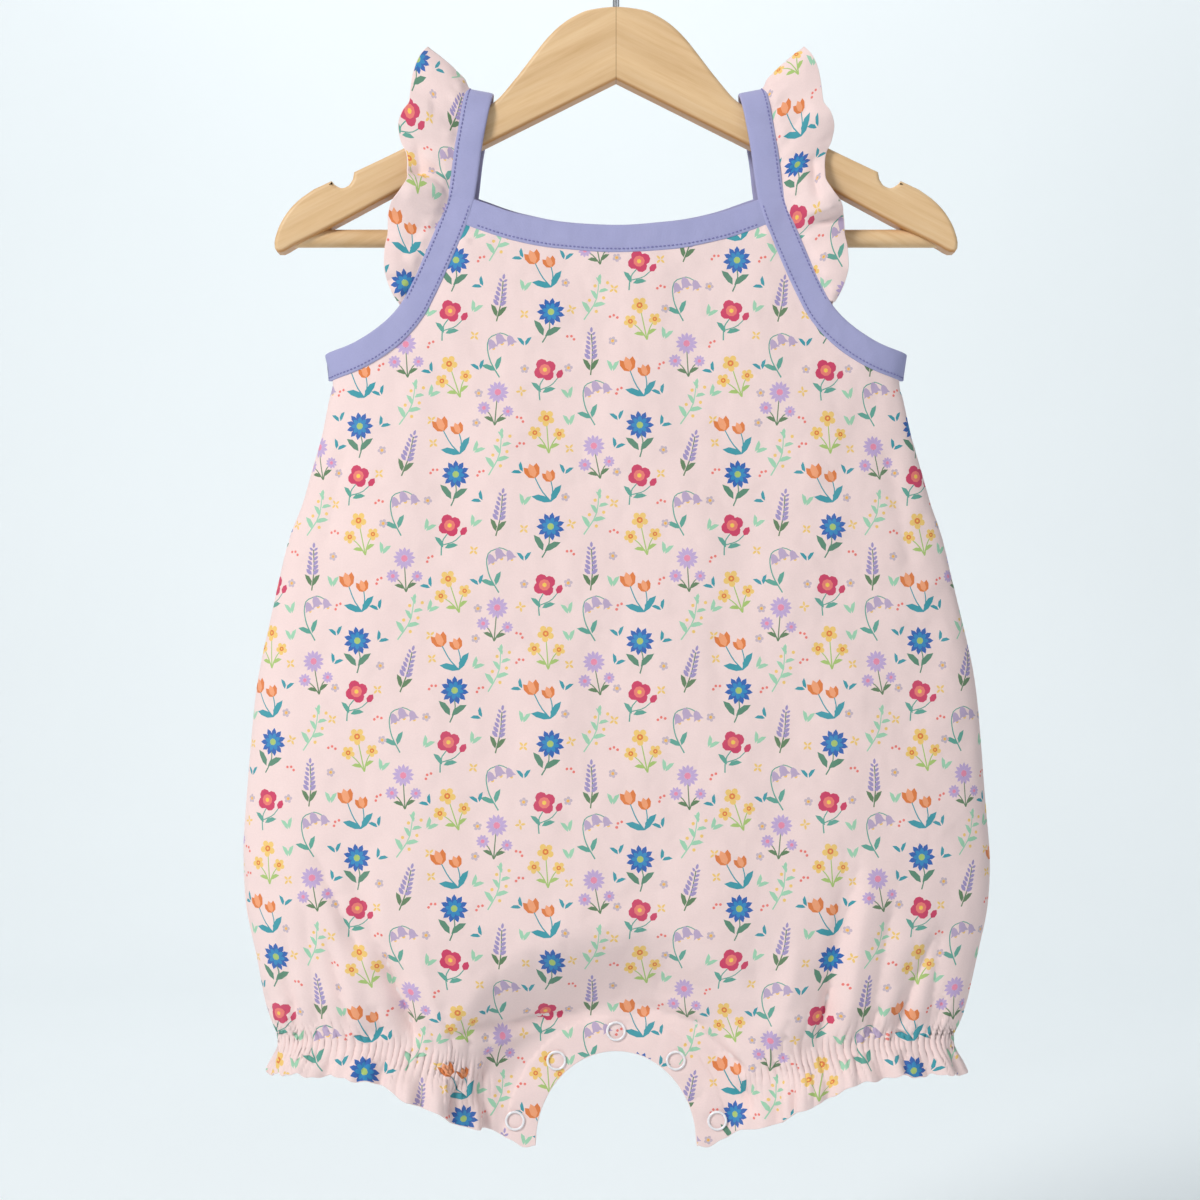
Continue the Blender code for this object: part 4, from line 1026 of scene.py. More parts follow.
def body_lattice(face, coarse, creased, gather_step, fine):
    """Loose points of the flat panel: close where the cloth is creased, gathered, stepped or
    dented."""
    angles, drops = TOP_EDGES[face]

    def kept(points, margin):
        angle = PATTERN.angle(points[:, 0], points[:, 1])
        inside = np.abs(points[:, 0]) < PATTERN.half_girth(points[:, 1]) - margin
        inside &= points[:, 1] > np.interp(np.abs(angle), angles, drops) + margin
        inside &= points[:, 1] < edge_drop(angle) - margin
        return points[inside], angle[inside]

    def close(points, angle):
        x = skin_point(angle, points[:, 1], face)[:, 0]
        gathered = (points[:, 1] > elastic_drop(angle) - GATHERED_ABOVE) & (np.abs(x) > GATHERS_START - 4)
        edge = arch_distance(x, points[:, 1])
        snapped = np.zeros(len(points), bool)
        for snap_x, snap_drop in SNAP_PLACES:
            snapped |= np.hypot(x - snap_x, points[:, 1] - snap_drop) < SNAP_ZONE
        stepped = (np.abs(edge - PLACKET_FLAT + 0.7) < STEP_ZONE) | snapped
        stepped |= PATTERN.half_girth(points[:, 1]) - np.abs(points[:, 0]) < SEAM_ZONE
        return np.where(gathered, 2, np.where(stepped, 3, points[:, 1] > CREASED_BELOW))

    parts = []
    for kind, steps in enumerate(((coarse, coarse), (creased, creased), gather_step, (fine, fine))):
        points, angle = kept(lattice(*LATTICE_BOX, *steps), 0.4 * steps[0])
        parts.append(points[close(points, angle) == kind])
    return np.concatenate(parts)


def add_body(name, node, face, anchor, materials):
    outline = body_outline(face)
    shapes = print_over(outline, anchor, -face)

    def place(flat):
        angle = PATTERN.angle(flat[:, 0], flat[:, 1])
        return body_surface(angle, flat[:, 1], face)

    loose, loose_inside = body_lattice(face, *FACE_STEPS), body_lattice(face, *REVERSE_STEPS)
    piece = cloth_mesh(name, outline, loose, loose_inside, shapes, place, materials)
    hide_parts(node)


# ---- flutter sleeves ----
SLEEVE_COLUMNS = 400
SLEEVE_ROWS = 30
PUCKER_PLACE, PUCKER_HALF_WIDTH = 7.0, 3.5  # from a sleeve's sewn edge
SLEEVE_PUCKER, PUCKER_WAVE = 0.35, 7.3
SWING_REACH = 16  # columns each way, over which the flat piece's sewn edge is made even


def sleeve_edges(side):
    """The sewn edge under the strap and the free outer edge, both from front to back."""
    count = 400
    places, _, across = armhole_stations(side, count)
    sewn = places + across * TUCK_UNDER
    half = count // 2
    lowest = np.argmin(np.abs(sewn[:half, 2] - height(SLEEVE_EDGE["drop"][0])))
    sewn = sewn[lowest : half + 1]
    half_x, drop, half_y = SLEEVE_EDGE.values()
    front = np.stack([side * half_x, -half_y, height(drop)], axis=1)
    free = smooth_line(front, np.linspace(0, 1, 600) * along(front)[-1])
    shares = np.linspace(0, 1, SLEEVE_COLUMNS // 2 + 1)
    halves = [resampled(edge, shares) for edge in (sewn, free)]
    return [np.concatenate([half, (half * (1, -1, 1))[-2::-1]]) for half in halves]


def net_normals(net):
    """Directions across a net of points, all to one side of it."""
    return unit(np.cross(np.gradient(net, axis=0), np.gradient(net, axis=1)))


class SleevePattern:
    """The sleeve's surface. Its flat piece is a crescent, whose sewn edge swings sideways as the
    armhole does, so that the print hangs straight down on it."""

    def __init__(self, side):
        self.side = side
        sewn, free = sleeve_edges(side)
        middle = (sewn + free) / 2
        length = along(middle[:, 1:])
        self.lengths = length[len(length) // 2] - length
        self.widths = np.linalg.norm(free - sewn, axis=1)
        padded = np.pad(sewn[:, 0], SWING_REACH, mode="edge")
        reach = 2 * SWING_REACH + 1
        self.swing = np.convolve(padded, np.ones(reach) / reach, mode="valid")
        share = np.linspace(0, 1, SLEEVE_ROWS + 1)[:, None]
        net = sewn + (free - sewn) * share[:, :, None]
        outward = net_normals(net) * side
        x = side * share * self.widths
        y = np.broadcast_to(self.lengths, x.shape)
        wave = np.sin(2 * np.pi * y / PUCKER_WAVE + 1.6 * np.sin(y / 9.0))
        near = np.exp(-(((np.abs(x) - PUCKER_PLACE) / PUCKER_HALF_WIDTH) ** 2))
        lift = line_lift(x, y, SLEEVE_CREASES[side]) * np.minimum(1.0, self.widths / 12.0)
        lift += SLEEVE_PUCKER * near * wave
        lift += SLEEVE_FULLNESS * 4 * share * (1 - share)
        clear = smoothstep((np.abs(x) - 2.0) / 5.0)
        lift = lift * clear - SLEEVE_SINK * (1 - clear)
        self.net = net + outward * lift[:, :, None]
        self.outward = net_normals(self.net) * side

    def outline(self):
        columns = np.arange(0, len(self.lengths), 2)
        sewn = np.stack([self.swing[columns], self.lengths[columns]], axis=1)
        free = sewn + np.stack([self.side * self.widths[columns], np.zeros(len(columns))], axis=1)
        return np.concatenate([sewn, free[::-1]])

    def beside(self, flat):
        """Distances from the sewn edge and widths of the sleeve there, at places on the flat."""
        swing = np.interp(-flat[:, 1], -self.lengths, self.swing)
        return self.side * (flat[:, 0] - swing), np.interp(-flat[:, 1], -self.lengths, self.widths)

    def place(self, flat):
        column = np.interp(-flat[:, 1], -self.lengths, np.arange(len(self.lengths)))
        x, width = self.beside(flat)
        row = np.clip(x / width, 0.0, 1.0) * SLEEVE_ROWS
        return bilinear(self.net, row, column), unit(bilinear(self.outward, row, column))

    def loose(self, step):
        outline = self.outline()
        points = lattice(outline.min(axis=0), outline.max(axis=0), step, step)
        x, width = self.beside(points)
        return points[(x > 0.4 * step) & (x < width - 0.4 * step)]


def add_sleeve(side, word, anchor, materials):
    pattern = SleevePattern(side)
    outline = pattern.outline()
    shapes = print_over(outline, anchor)
    name = f"sleeve_{word}"
    loose, loose_inside = pattern.loose(SLEEVE_FACE_STEP), pattern.loose(SLEEVE_REVERSE_STEP)
    piece = cloth_mesh(name, outline, loose, loose_inside, shapes, pattern.place, materials)
    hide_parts(f"flutter_sleeve_{word}")


# ---- bindings ----
TAPE_TURNS = np.radians(np.arange(9.0, 360.0, 18.0))
STITCH_PITCH = 1.8
STITCH_LENGTH = 1.2
STITCH_RADIUS = 0.27
STITCH_INSET = 1.5  # of a row of stitches from the tape's edge
STITCH_SIDES = 6
STITCH_SHAPE = np.array([(0, 0.25), (0.12, 0.85), (0.35, 1), (0.65, 1), (0.88, 0.85), (1, 0.25)])
STITCH_SINK = 0.9  # of a stitch's ends, times the square of their share of its length
FIRST_STITCH = 0.4
STITCH_LIFT = 0.02
GROOVE_DEPTH, GROOVE_HALF_WIDTH = 0.22, 0.9  # of the dent in a tape along its stitches
PUCKER_HEIGHT = 0.09
NECK_STATIONS, ARM_STATIONS = 110, 260
NECK_TAPE_TUCK = 3.5  # of each end of a neck tape, under an arm tape
NECK_STITCHES_END = 61.0  # from the middle
SLEEVE_STITCHES_END, PANEL_STITCHES_START = 130.0, 90.0  # drops
NECK_TAPE = {"thickness": 1.6, "length": 0.145}  # the length is that of the flat tape, in metres
ARM_TAPE = {"thickness": 2.3, "length": 0.38}


def rounded(values, power):
    """A sine or cosine drawn towards the corners of a square."""
    return np.sign(values) * np.abs(values) ** power


def tape_section(half_width, half_thick):
    """Corners of a flat tape's rounded section."""
    return rounded(np.cos(TAPE_TURNS), 0.22) * half_width, rounded(np.sin(TAPE_TURNS), 0.6) * half_thick


def tube_faces(rings, sides, closed=False, first=0):
    """Four-cornered faces between rings of corners that follow one another."""
    faces = []
    for k in range(rings if closed else rings - 1):
        here, there = first + k * sides, first + (k + 1) % rings * sides
        for i in range(sides):
            j = (i + 1) % sides
            faces.append((here + i, here + j, there + j, there + i))
    return faces


def thread(places, facing, across, offset, lift, chosen, closed):
    """A row of short stitches along a tape, each a small capsule."""
    line = places + across * offset + facing * lift
    if closed:
        line, facing, across = [np.concatenate([v, v[:1]]) for v in (line, facing, across)]
    length = along(line)
    way, thick = STITCH_SHAPE.T
    turn = circle_turns(STITCH_SIDES)[None, :, None]
    points, faces = [], []
    for start in np.arange(FIRST_STITCH, length[-1] - STITCH_LENGTH, STITCH_PITCH):
        spots = start + way * STITCH_LENGTH
        centre = between(spots, length, line)
        if not chosen(centre[0]):
            continue
        up, aside = between(spots, length, facing), between(spots, length, across)
        centre = centre - up * (np.abs(way - 0.5) ** 2 * STITCH_SINK)[:, None]
        ring = np.cos(turn) * up[:, None] + np.sin(turn) * aside[:, None]
        faces += tube_faces(len(way), STITCH_SIDES, first=len(points) * STITCH_SIDES * len(way))
        points.append((centre[:, None] + ring * STITCH_RADIUS * thick[:, None, None]).reshape(-1, 3))
    return np.concatenate(points), np.array(faces)


def tape_rings(stations, rows, thickness):
    """The tape's section at each station, dented along its rows of stitches, and each corner's
    place on the flat tape."""
    places, facing, across = stations
    w, t = tape_section(BINDING_WIDTH / 2, thickness / 2)
    way = along(places)[:, None]
    depth = GROOVE_DEPTH + PUCKER_HEIGHT * np.sin(2 * np.pi * way / STITCH_PITCH)
    groove = np.zeros((len(places), len(w)))
    for offset, chosen in rows:
        near = np.exp(-(((w - offset) / GROOVE_HALF_WIDTH) ** 2))
        picked = np.array([[float(chosen(p))] for p in places])
        groove -= picked * near * depth
    drawn = 0.16 * np.sin(way / 11.0) + 0.1 * np.sin(way / 4.7 + 1.0)
    thick = (t + np.sign(t) * groove)[:, :, None]
    wide = (w + drawn * np.sign(w) * 0.5)[:, :, None]
    rings = places[:, None] + across[:, None] * wide + facing[:, None] * thick
    round_way = np.cumsum(np.concatenate([[0.0], np.hypot(np.diff(w), np.diff(t))]))
    return rings, np.stack(np.broadcast_arrays(round_way, way), axis=2)


def add_stitches(name, stations, closed, rows, thickness, material):
    """Every row of stitches, on both sides of a tape."""
    places, facing, across = stations
    lift = thickness / 2 + STITCH_LIFT
    threads = []
    for side, word in ((1, "outer"), (-1, "inner")):
        for k, (offset, chosen) in enumerate(rows, start=1):
            points, faces = thread(places, facing * side, across, offset, lift, chosen, closed)
            row = new_piece(f"{name}_stitches_{word}_{k}", points, faces, [material])
            threads.append(row)
    return threads


def add_tape(name, node, stations, closed, rows, materials, thickness, length):
    """A binding with its rows of stitches. rows lists an offset across and which places it takes."""
    rings, flat = tape_rings(stations, rows, thickness)
    count, sides, _ = rings.shape
    points, faces = rings.reshape(-1, 3), np.array(tube_faces(count, sides, closed))
    faces = faced_outward(points, faces, np.repeat(stations[0], sides, axis=0))
    tape = new_piece(name, points, faces, materials[:1], flat=flat.reshape(-1, 2))
    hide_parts(node)
    threads = add_stitches(name, stations, closed, rows, thickness, materials[1])


def faced_outward(points, faces, centres):
    """The faces, all turned the way in which most of them look away from the centres."""
    away = points[faces].mean(axis=1) - centres[faces[:, 0]]
    return faces[:, ::-1] if (looks_of(points, faces) * away).sum() < 0 else faces


def add_bindings(materials):
    """Both neck tapes and both arm tapes. An arm tape is stitched along one edge where the sleeve
    hangs from it, and along the other where the panel does."""
    edge = BINDING_WIDTH / 2 - STITCH_INSET
    rows = [(edge, lambda p: abs(p[0]) < NECK_STITCHES_END)]
    for face, word in ((FRONT, "front"), (BACK, "back")):
        node, stations = f"neck_binding_{word}", neck_stations(face, NECK_STATIONS, NECK_TAPE_TUCK)
        add_tape(f"neck_tape_{word}", node, stations, False, rows, materials, **NECK_TAPE)
    rows = [
        (edge, lambda p: p[2] > height(SLEEVE_STITCHES_END)),
        (-edge, lambda p: p[2] < height(PANEL_STITCHES_START)),
    ]
    for side, word in ((LEFT, "left"), (RIGHT, "right")):
        node, stations = f"armhole_binding_{word}", armhole_stations(side, ARM_STATIONS)
        add_tape(f"arm_tape_{word}", node, stations, True, rows, materials, **ARM_TAPE)


# ---- snaps ----
SNAP_RING_THICK = 0.55  # half of it, along Y
SNAP_RING_LIFT = 0.3
STUD_PROFILE = (
    (0.05, -0.7), (1.4, -0.7), (1.6, -0.5), (3.6, -0.5), (3.9, -0.3), (3.9, 0.3), (3.6, 0.5),
    (2.3, 0.5), (2.1, 0.8), (0.05, 0.8),
)


def lathe(name, centre, profile, sides, materials, closed=True):
    """A profile of (radius, offset) turned about an axis along Y."""
    turn = circle_turns(sides)
    ring = np.stack([np.cos(turn), np.zeros(sides), np.sin(turn)], axis=1)
    points = np.concatenate([centre + r * ring + (0, y, 0) for r, y in profile])
    faces = np.array(tube_faces(len(profile), sides, closed))
    mean = np.mean([r for r, _ in profile])
    middle = np.concatenate([centre + mean * ring for _ in profile])
    return new_piece(name, points, faced_outward(points, faces, middle), materials)


def add_snaps(cap_material, metal_material):
    """Open ring caps outside both snapped edges, and a socket and stud between them."""
    ring_middle = (SNAP_RING_OUTER + SNAP_RING_INNER) / 2
    ring_half = (SNAP_RING_OUTER - SNAP_RING_INNER) / 2
    turn = circle_turns(14)
    ring_profile = [(ring_middle + ring_half * math.cos(a), SNAP_RING_THICK * math.sin(a)) for a in turn]
    for i, (x, drop) in enumerate(SNAP_PLACES, start=1):
        middle = np.array([x, 0.0, height(drop)])
        for face, word in ((FRONT, "front"), (BACK, "back")):
            centre = middle + (0.0, face * (PLACKET_DEPTH + CLOTH_OUT + PLACKET_STEP + SNAP_RING_LIFT), 0.0)
            ring = lathe(f"snap_cap_{word}_{i}", centre, ring_profile, 48, [cap_material])
            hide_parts(f"snap_ring_{word}_{i}")
        stud = lathe(f"snap_middle_{i}", middle, STUD_PROFILE, 40, [metal_material], closed=False)
        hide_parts(f"snap_stud_{i}")


# ---- hanger ----
WOOD_ROUNDING = 2.0
WOOD_EDGE_TURNS = np.radians([90.0, 67.5, 45.0, 22.5, 0.0])
HOOK_TURNS = (-60.0, 196.0)  # of the circle's start and end, in degrees
HOOK_STEM_DROP, HOOK_FOOT_DROP = -9.0, 11.7
HOOK_BEND = (3.3, -33.2)  # x and height of the bend's last control point
BAR_SIDES = 40
BAR_STATIONS = np.linspace(-BAR_END, BAR_END, 60)
BAR_WAIST = 0.006  # of its radius


def wood_outline():
    """The hanger's outline in x and height, both arms, anticlockwise from in front."""
    crown = smooth_curve(mirrored(WOOD_TOP["half_x"]), mirrored(WOOD_TOP["drop"], 1))
    x = np.linspace(0, WOOD_TOP["half_x"][-1], 70)
    parts = [np.stack([x, crown(x)], axis=1)]
    for corners, count in ((WOOD_NOTCH, 16), (WOOD_END, 60)):
        points = corners_of(corners)
        parts.append(smooth_line(points, np.linspace(0, along(points)[-1], count)))
    both = with_mirror(np.concatenate([*parts, [(0.0, WOOD_FORK_DROP)]]), (-1, 1))
    return anticlockwise(np.stack([both[:, 0], height(both[:, 1])], axis=1))


def add_wood(material):
    """Both arms as one piece with rounded edges."""
    outline = wood_outline()
    count = len(outline)
    run = unit(np.roll(outline, -1, axis=0) - np.roll(outline, 1, axis=0))
    outward = np.stack([run[:, 1], np.zeros(count), -run[:, 0]], axis=1)
    half = WOOD_THICKNESS / 2
    inset = outline - outward[:, ::2] * WOOD_ROUNDING
    flat, triangles, _, on_outline = divided(inset, [], [])
    front = np.stack([flat[:, 0], np.full(len(flat), -half), flat[:, 1]], axis=1)
    inset = np.stack([inset[:, 0], np.zeros(count), inset[:, 1]], axis=1)
    points, facing = [front], [np.broadcast_to((0.0, -1.0, 0.0), front.shape)]
    faces, previous, first = [triangles], on_outline, len(flat)
    turns = [(-1, t) for t in WOOD_EDGE_TURNS[1:]] + [(1, t) for t in WOOD_EDGE_TURNS[:0:-1]]
    for side, turn in turns + [(1, WOOD_EDGE_TURNS[0])]:
        direction = outward * math.cos(turn) + (0.0, side * math.sin(turn), 0.0)
        points.append(inset + direction * WOOD_ROUNDING + (0.0, side * (half - WOOD_ROUNDING), 0.0))
        facing.append(direction)
        ring = np.arange(count) + first
        faces += halved(previous, ring, np.roll(ring, -1), np.roll(previous, -1))
        previous, first = ring, first + count
    points.append(front * (1, -1, 1))
    facing.append(np.broadcast_to((0.0, 1.0, 0.0), front.shape))
    faces.append(triangles[:, ::-1] + first)
    points, faces, facing = [np.concatenate(parts) for parts in (points, faces, facing)]
    wood = new_piece("wood", points, faces, [material], normals=facing)
    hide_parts("hanger_wood")


def add_bar(material):
    """The round bar between the arms, with a slight waist as a turned dowel has."""
    turn = circle_turns(BAR_SIDES)
    points = []
    for x in BAR_STATIONS:
        radius = BAR_RADIUS * (1 + BAR_WAIST * math.sin(x / 9.0))
        points += [(x, radius * math.cos(a), height(BAR_DROP) + radius * math.sin(a)) for a in turn]
    points, faces = np.array(points), np.array(tube_faces(len(BAR_STATIONS), BAR_SIDES))
    centres = points * (1, 0, 0) + (0, 0, height(BAR_DROP))
    bar = new_piece("bar", points, faced_outward(points, faces, centres), [material])
    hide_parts("hanger_bar")


def hook_route():
    """Middle of the hook's wire: its stem, a gentle bend and most of a circle."""
    turn = np.radians(np.linspace(*HOOK_TURNS, 60))
    centre = (0.0, HOOK_WIRE_RADIUS - HOOK_RADIUS)
    circle = np.stack([np.cos(turn), np.sin(turn)], axis=1) * HOOK_RADIUS + centre
    stem_top = height(HOOK_STEM_DROP)
    ends = np.array([(0.0, stem_top), (0.0, stem_top + 8.0), HOOK_BEND, circle[0]])
    t = np.linspace(0, 1, 16)[:, None]
    weights = [(1 - t) ** 3, 3 * t * (1 - t) ** 2, 3 * t**2 * (1 - t), t**3]
    bend = sum(w * e for w, e in zip(weights, ends))
    return np.concatenate([[(0.0, height(HOOK_FOOT_DROP))], bend, circle[1:]])


def add_hook(material):
    curve = bpy.data.curves.new("hook", "CURVE")
    curve.dimensions = "3D"
    curve.bevel_depth = HOOK_WIRE_RADIUS * MM
    curve.bevel_resolution = 6
    curve.use_fill_caps = True
    route = hook_route()
    spline = curve.splines.new("POLY")
    spline.points.add(len(route) - 1)
    for point, (x, z) in zip(spline.points, route):
        point.co = (x * MM, 0.0, z * MM, 1.0)
    spline.points[-1].radius = 0.55
    curve.materials.append(material)
    hook = in_scene("hook", curve)
    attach(hook, "root")
    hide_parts("hanger_hook")


# ---- materials ----
class Nodes:
    """A new material's nodes, made and joined by short calls."""

    def __init__(self, name):
        self.material = bpy.data.materials.new(name)
        self.material.use_nodes = True
        self.tree = self.material.node_tree
        self.shader = self.tree.nodes["Principled BSDF"]

    def add(self, kind, **settings):
        node = self.tree.nodes.new(kind)
        for key, value in settings.items():
            setattr(node, key, value)
        return node

    def join(self, value, socket):
        if isinstance(value, bpy.types.NodeSocket):
            self.tree.links.new(value, socket)
        else:
            socket.default_value = value

    def position(self):
        return self.add("ShaderNodeNewGeometry").outputs["Position"]

    def split(self, vector):
        node = self.add("ShaderNodeSeparateXYZ")
        self.join(vector, node.inputs[0])
        return node.outputs

    def maths(self, operation, a, b=0.0):
        node = self.add("ShaderNodeMath", operation=operation)
        self.join(a, node.inputs[0])
        self.join(b, node.inputs[1])
        return node.outputs[0]

    def mix(self, share, a, b, blend="MIX"):
        node = self.add("ShaderNodeMix", data_type="RGBA", blend_type=blend)
        self.join(share, node.inputs[0])
        self.join(a, node.inputs[6])
        self.join(b, node.inputs[7])
        return node.outputs[2]

    def noise(self, vector, scale, detail=2.0, roughness=0.5):
        node = self.add("ShaderNodeTexNoise")
        for key, value in zip(("Vector", "Scale", "Detail", "Roughness"), (vector, scale, detail, roughness)):
            self.join(value, node.inputs[key])
        return node.outputs["Fac"]

    def ramp(self, value, *stops):
        """Colours by a value. Each stop is a position and red, green and blue."""
        node = self.add("ShaderNodeValToRGB")
        self.join(value, node.inputs[0])
        elements = node.color_ramp.elements
        while len(elements) < len(stops):
            elements.new(0.5)
        for element, (position, colour) in zip(elements, stops):
            element.position = position
            element.color = (*colour, 1.0)
        return node.outputs[0]

    def bump(self, value, strength, distance):
        node = self.add("ShaderNodeBump")
        for key, given in zip(("Strength", "Distance", "Height"), (strength, distance, value)):
            self.join(given, node.inputs[key])
        self.set(Normal=node.outputs[0])

    def set(self, **values):
        """Gives the shader's inputs values or links. An underscore stands for a space."""
        for key, value in values.items():
            self.join(value, self.shader.inputs[key.replace("_", " ")])


WHITE = (1.0, 1.0, 1.0)
UNEVEN_BY = 0.0001  # metres
KNIT_DEPTH = 0.045
CRUMPLE_DEPTH = 2.2


def knit_height(nodes, pitch):
    """Height of a fine jersey in millimetres: loops in columns of small Vs along the flat cloth,
    on a softly crumpled ground."""
    flat = nodes.add("ShaderNodeUVMap", uv_map="flat_cloth").outputs[0]
    x, y, _ = nodes.split(flat)
    column = nodes.maths("DIVIDE", x, pitch)
    across = nodes.maths("ABSOLUTE", nodes.maths("SUBTRACT", nodes.maths("FRACT", column), 0.5))
    row = nodes.maths("DIVIDE", y, pitch * 0.8)
    slanted = nodes.maths("ADD", row, nodes.maths("MULTIPLY", across, 1.3))
    loops = nodes.maths("SINE", nodes.maths("MULTIPLY", slanted, 2 * math.pi))
    rib = nodes.maths("SINE", nodes.maths("MULTIPLY", across, 2 * math.pi))
    total = nodes.maths("ADD", nodes.maths("MULTIPLY", loops, 0.3), nodes.maths("MULTIPLY", rib, 0.7))
    fuzz = nodes.noise(flat, 3.0, 3.0)
    crumple = nodes.noise(flat, 0.06, 1.6, 0.5)
    fine = nodes.maths("MULTIPLY", nodes.maths("ADD", total, fuzz), KNIT_DEPTH)
    return nodes.maths("ADD", fine, nodes.maths("MULTIPLY", crumple, CRUMPLE_DEPTH)), flat


def jersey(name, colour, pitch, sheen):
    """Fine cotton jersey. colour is a code, or None for the printed colours."""
    nodes = Nodes(name)
    loops, flat = knit_height(nodes, pitch)
    if colour is None:
        base = nodes.add("ShaderNodeAttribute", attribute_name="print_colour").outputs["Color"]
    else:
        base = (*linear(colour), 1.0)
    cloudy = nodes.noise(flat, 0.035, 2.0)
    pale = nodes.mix(nodes.maths("MULTIPLY", cloudy, 0.09), base, (0.93, 0.85, 0.84, 1.0))
    flecks = nodes.ramp(nodes.noise(flat, 1.4, 3.0), (0.3, (0.96, 0.96, 0.96)), (0.7, WHITE))
    inked = nodes.mix(1.0, pale, flecks, "MULTIPLY")
    nodes.set(Base_Color=inked, Roughness=0.88, Sheen_Weight=sheen, Sheen_Roughness=0.5)
    nodes.set(Specular_IOR_Level=0.25)
    nodes.bump(loops, 1.0, MM)
    return nodes.material


def mottled(name, scale, detail, dark, light, unevenness, **settings):
    """A material whose colour wanders between two, with a surface as uneven as is stated."""
    nodes = Nodes(name)
    cloudy = nodes.noise(nodes.position(), scale, detail)
    nodes.set(Base_Color=nodes.ramp(cloudy, (0.3, dark), (0.7, light)), **settings)
    if unevenness:
        nodes.bump(cloudy, unevenness, UNEVEN_BY)
    return nodes.material


def sewing_thread():
    """Matt twisted cotton thread."""
    full = linear("8482B8")
    return mottled("lavender_thread", 2400.0, 2.0, full * 0.86, full, 0.3, Roughness=0.8)


def pale_wood(name, painted_shade_tone):
    """Clear-varnished beech: long grain along each arm, fine pores and a joint in the middle.
    painted_shade_tone is painted shade: a colour that the wood's colour is multiplied by on faces that look
    down."""
    nodes = Nodes(name)
    geometry = nodes.add("ShaderNodeNewGeometry")
    x, y, z = nodes.split(geometry.outputs["Position"])
    facing_up = nodes.split(geometry.outputs["Normal"])[2]
    half_x = nodes.maths("ABSOLUTE", x)
    rise = nodes.maths("ADD", z, nodes.maths("MULTIPLY", half_x, 0.5))
    stretched = nodes.add("ShaderNodeCombineXYZ")
    for i, (value, scale) in enumerate(((x, 9.0), (y, 60.0), (rise, 130.0))):
        nodes.join(nodes.maths("MULTIPLY", value, scale), stretched.inputs[i])
    broad = nodes.noise(stretched.outputs[0], 0.55, 2.0)
    grain = nodes.noise(stretched.outputs[0], 2.6, 4.0, 0.65)
    tones = zip((0.25, 0.5, 0.75), map(linear, ("DBB382", "E6C294", "ECCCA2")))
    colour = nodes.ramp(grain, *tones)
    tone = nodes.ramp(broad, (0.3, (0.86, 0.82, 0.78)), (0.65, WHITE))
    colour = nodes.mix(1.0, colour, tone, "MULTIPLY")
    joint = nodes.maths("LESS_THAN", half_x, 0.00022)
    colour = nodes.mix(nodes.maths("MULTIPLY", joint, 0.45), colour, (*linear("8A6238"), 1.0))
    # Painted shade: faces that look down are darkened as if out of the light.
    facing_down = nodes.maths("MULTIPLY", facing_up, -1.0)
    painted_shade_factor = nodes.ramp(facing_down, (0.25, WHITE), (0.7, painted_shade_tone))
    colour = nodes.mix(1.0, colour, painted_shade_factor, "MULTIPLY")
    nodes.set(Base_Color=colour, Roughness=0.45, Specular_IOR_Level=0.35)
    nodes.set(Coat_Weight=0.08, Coat_Roughness=0.25)
    nodes.bump(grain, 0.12, 0.0003)
    return nodes.material


def metal(name, code, roughness):
    full = linear(code)
    return mottled(name, 900.0, 3.0, full * 0.9, full, 0.05, Roughness=roughness, Metallic=1.0)


def pearl():
    dark, light = linear("E2E0E4"), linear("F6F4F5")
    return mottled("pearly_enamel", 420.0, 2.0, dark, light, 0.05, Roughness=0.22, Coat_Weight=0.5)


def studio_white():
    return mottled("studio_floor", 1.5, 2.0, (0.88, 0.925, 0.94), (0.9, 0.945, 0.96), 0.0, Roughness=0.9)


# ---- stage ----
FLOOR_HEIGHT = -0.72
WALL_DEPTH = 2.5
BEND_RADIUS = 1.0
CAMERA_DISTANCE = 1.1
CAMERA_X = -0.0071
CAMERA_DROP = 261.8
PHOTO_WIDTH = 0.5318  # of the view at the hanger, in metres


def add_stage():
    """A pale floor that curves up into a wall far behind."""
    profile = [(-4.0, FLOOR_HEIGHT)]
    for a in np.linspace(0, np.pi / 2, 24):
        depth, rise = math.sin(a) - 1, 1 - math.cos(a)
        profile.append((WALL_DEPTH + BEND_RADIUS * depth, FLOOR_HEIGHT + BEND_RADIUS * rise))
    profile.append((WALL_DEPTH, 3.0))
    points = [(x, y, z) for y, z in profile for x in (-5.0, 5.0)]
    faces = [(2 * k, 2 * k + 1, 2 * k + 3, 2 * k + 2) for k in range(len(profile) - 1)]
    mesh = bpy.data.meshes.new("floor")
    mesh.from_pydata(points, [], faces)
    mesh.materials.append(studio_white())
    mesh.shade_smooth()
    floor = in_scene("floor", mesh)


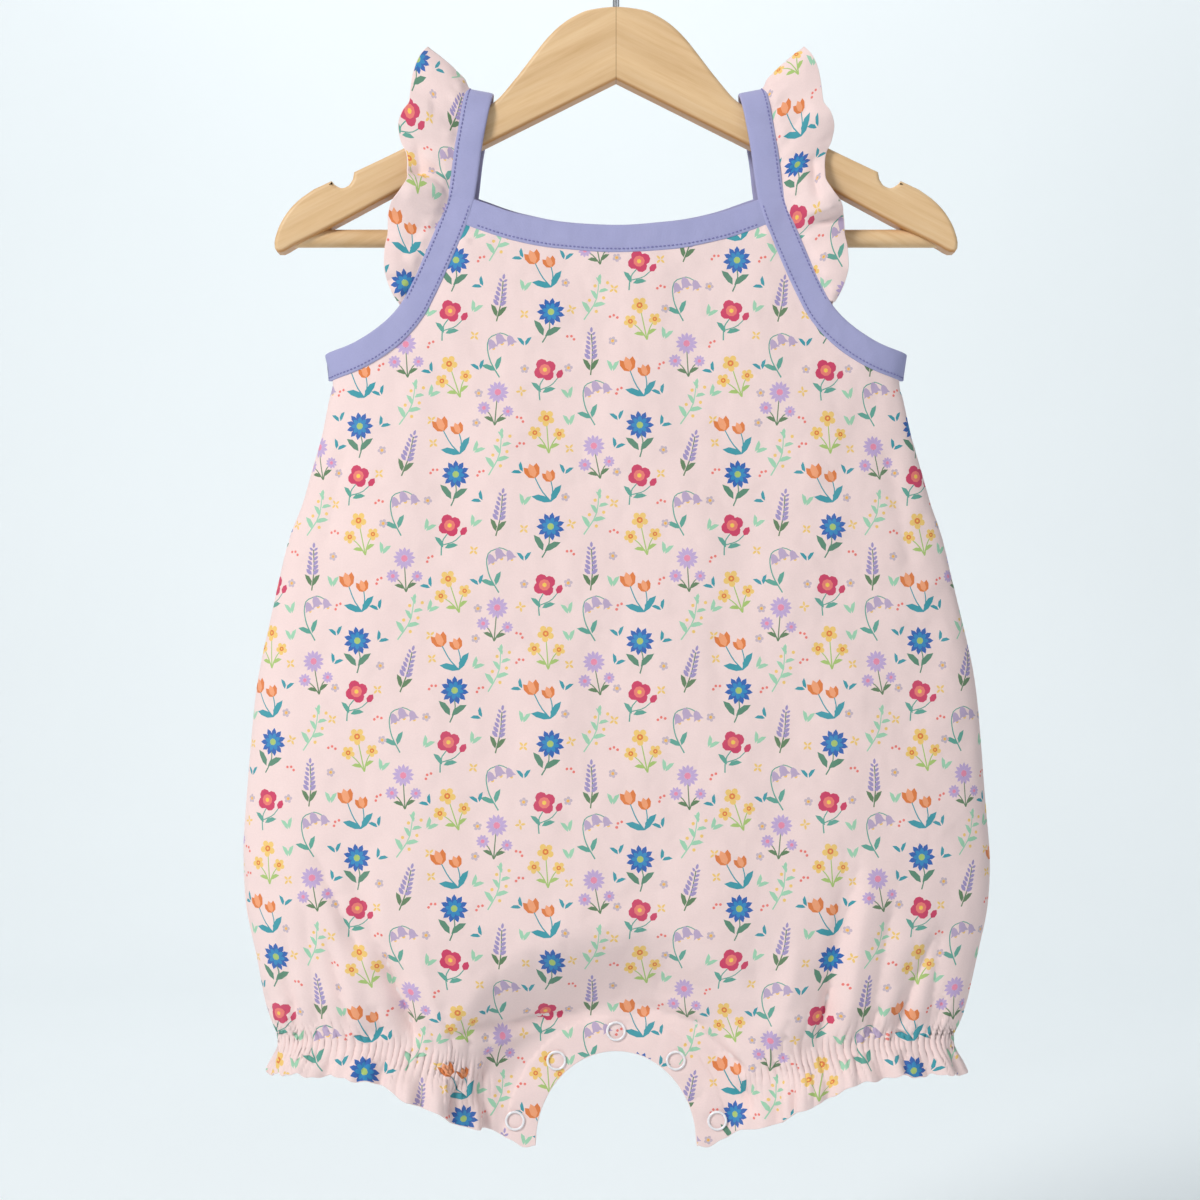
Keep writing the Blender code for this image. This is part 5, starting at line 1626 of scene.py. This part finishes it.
def add_light(name, place, target, size, power, colour):
    data = bpy.data.lights.new(name, "AREA")
    data.shape = "DISK"
    data.size = size
    data.energy = power
    data.color = colour
    light = in_scene(name, data)
    light.location = place
    light.rotation_euler = (Vector(target) - Vector(place)).to_track_quat("-Z", "Y").to_euler()


def add_lights():
    middle = (0.0, 0.0, -0.3)
    add_light("key", (-1.75, -2.1, 1.4), middle, 1.0, 69.0, (1.0, 0.98, 0.96))
    add_light("fill", (1.4, -1.3, 0.1), middle, 1.4, 3.0, (0.95, 0.97, 1.0))
    add_light("wall", (0.0, 0.9, 1.7), (0.0, 2.5, -0.2), 1.6, 21.0, (1.0, 1.0, 1.0))
    world = bpy.data.worlds.new("studio")
    world.use_nodes = True
    background = world.node_tree.nodes["Background"]
    background.inputs[0].default_value = (0.86, 0.92, 0.97, 1.0)
    background.inputs[1].default_value = 0.34
    bpy.context.scene.world = world
    bpy.context.scene.view_settings.view_transform = "Standard"


def add_camera():
    data = bpy.data.cameras.new("camera")
    data.sensor_width = 36.0
    data.lens = data.sensor_width * CAMERA_DISTANCE / PHOTO_WIDTH
    camera = in_scene("camera", data)
    camera.location = (CAMERA_X, -CAMERA_DISTANCE, height(CAMERA_DROP) * MM)
    camera.rotation_euler = (math.pi / 2, 0.0, 0.0)
    bpy.context.scene.camera = camera


def main():
    add_camera()
    add_stage()
    add_lights()
    printed = jersey("printed_jersey", None, 0.85, 0.1)
    reverse = jersey("jersey_reverse", "F3E1DF", 0.85, 0.1)
    cloth = [printed, reverse]
    add_body("front_panel", "romper_front", FRONT, (0.0, 0.0), cloth)
    add_body("back_panel", "romper_back", BACK, (40.0, 30.0), cloth)
    add_sleeve(LEFT, "left", (20.0, 10.0), cloth)
    add_sleeve(RIGHT, "right", (70.0, 50.0), cloth)
    lavender = jersey("lavender_jersey", "A2A3CD", 0.8, 0.1)
    add_bindings([lavender, sewing_thread()])
    add_snaps(pearl(), metal("snap_metal", "D5D7DA", 0.3))
    # The last colour of each wood is painted shade on its downward faces: strong on the arms, faint on the
    # bar.
    add_wood(pale_wood("beech_arms", (0.78, 0.58, 0.38)))
    add_bar(pale_wood("beech_bar", (0.97, 0.94, 0.9)))
    add_hook(metal("chromed_wire", "DADCDF", 0.15))


main()
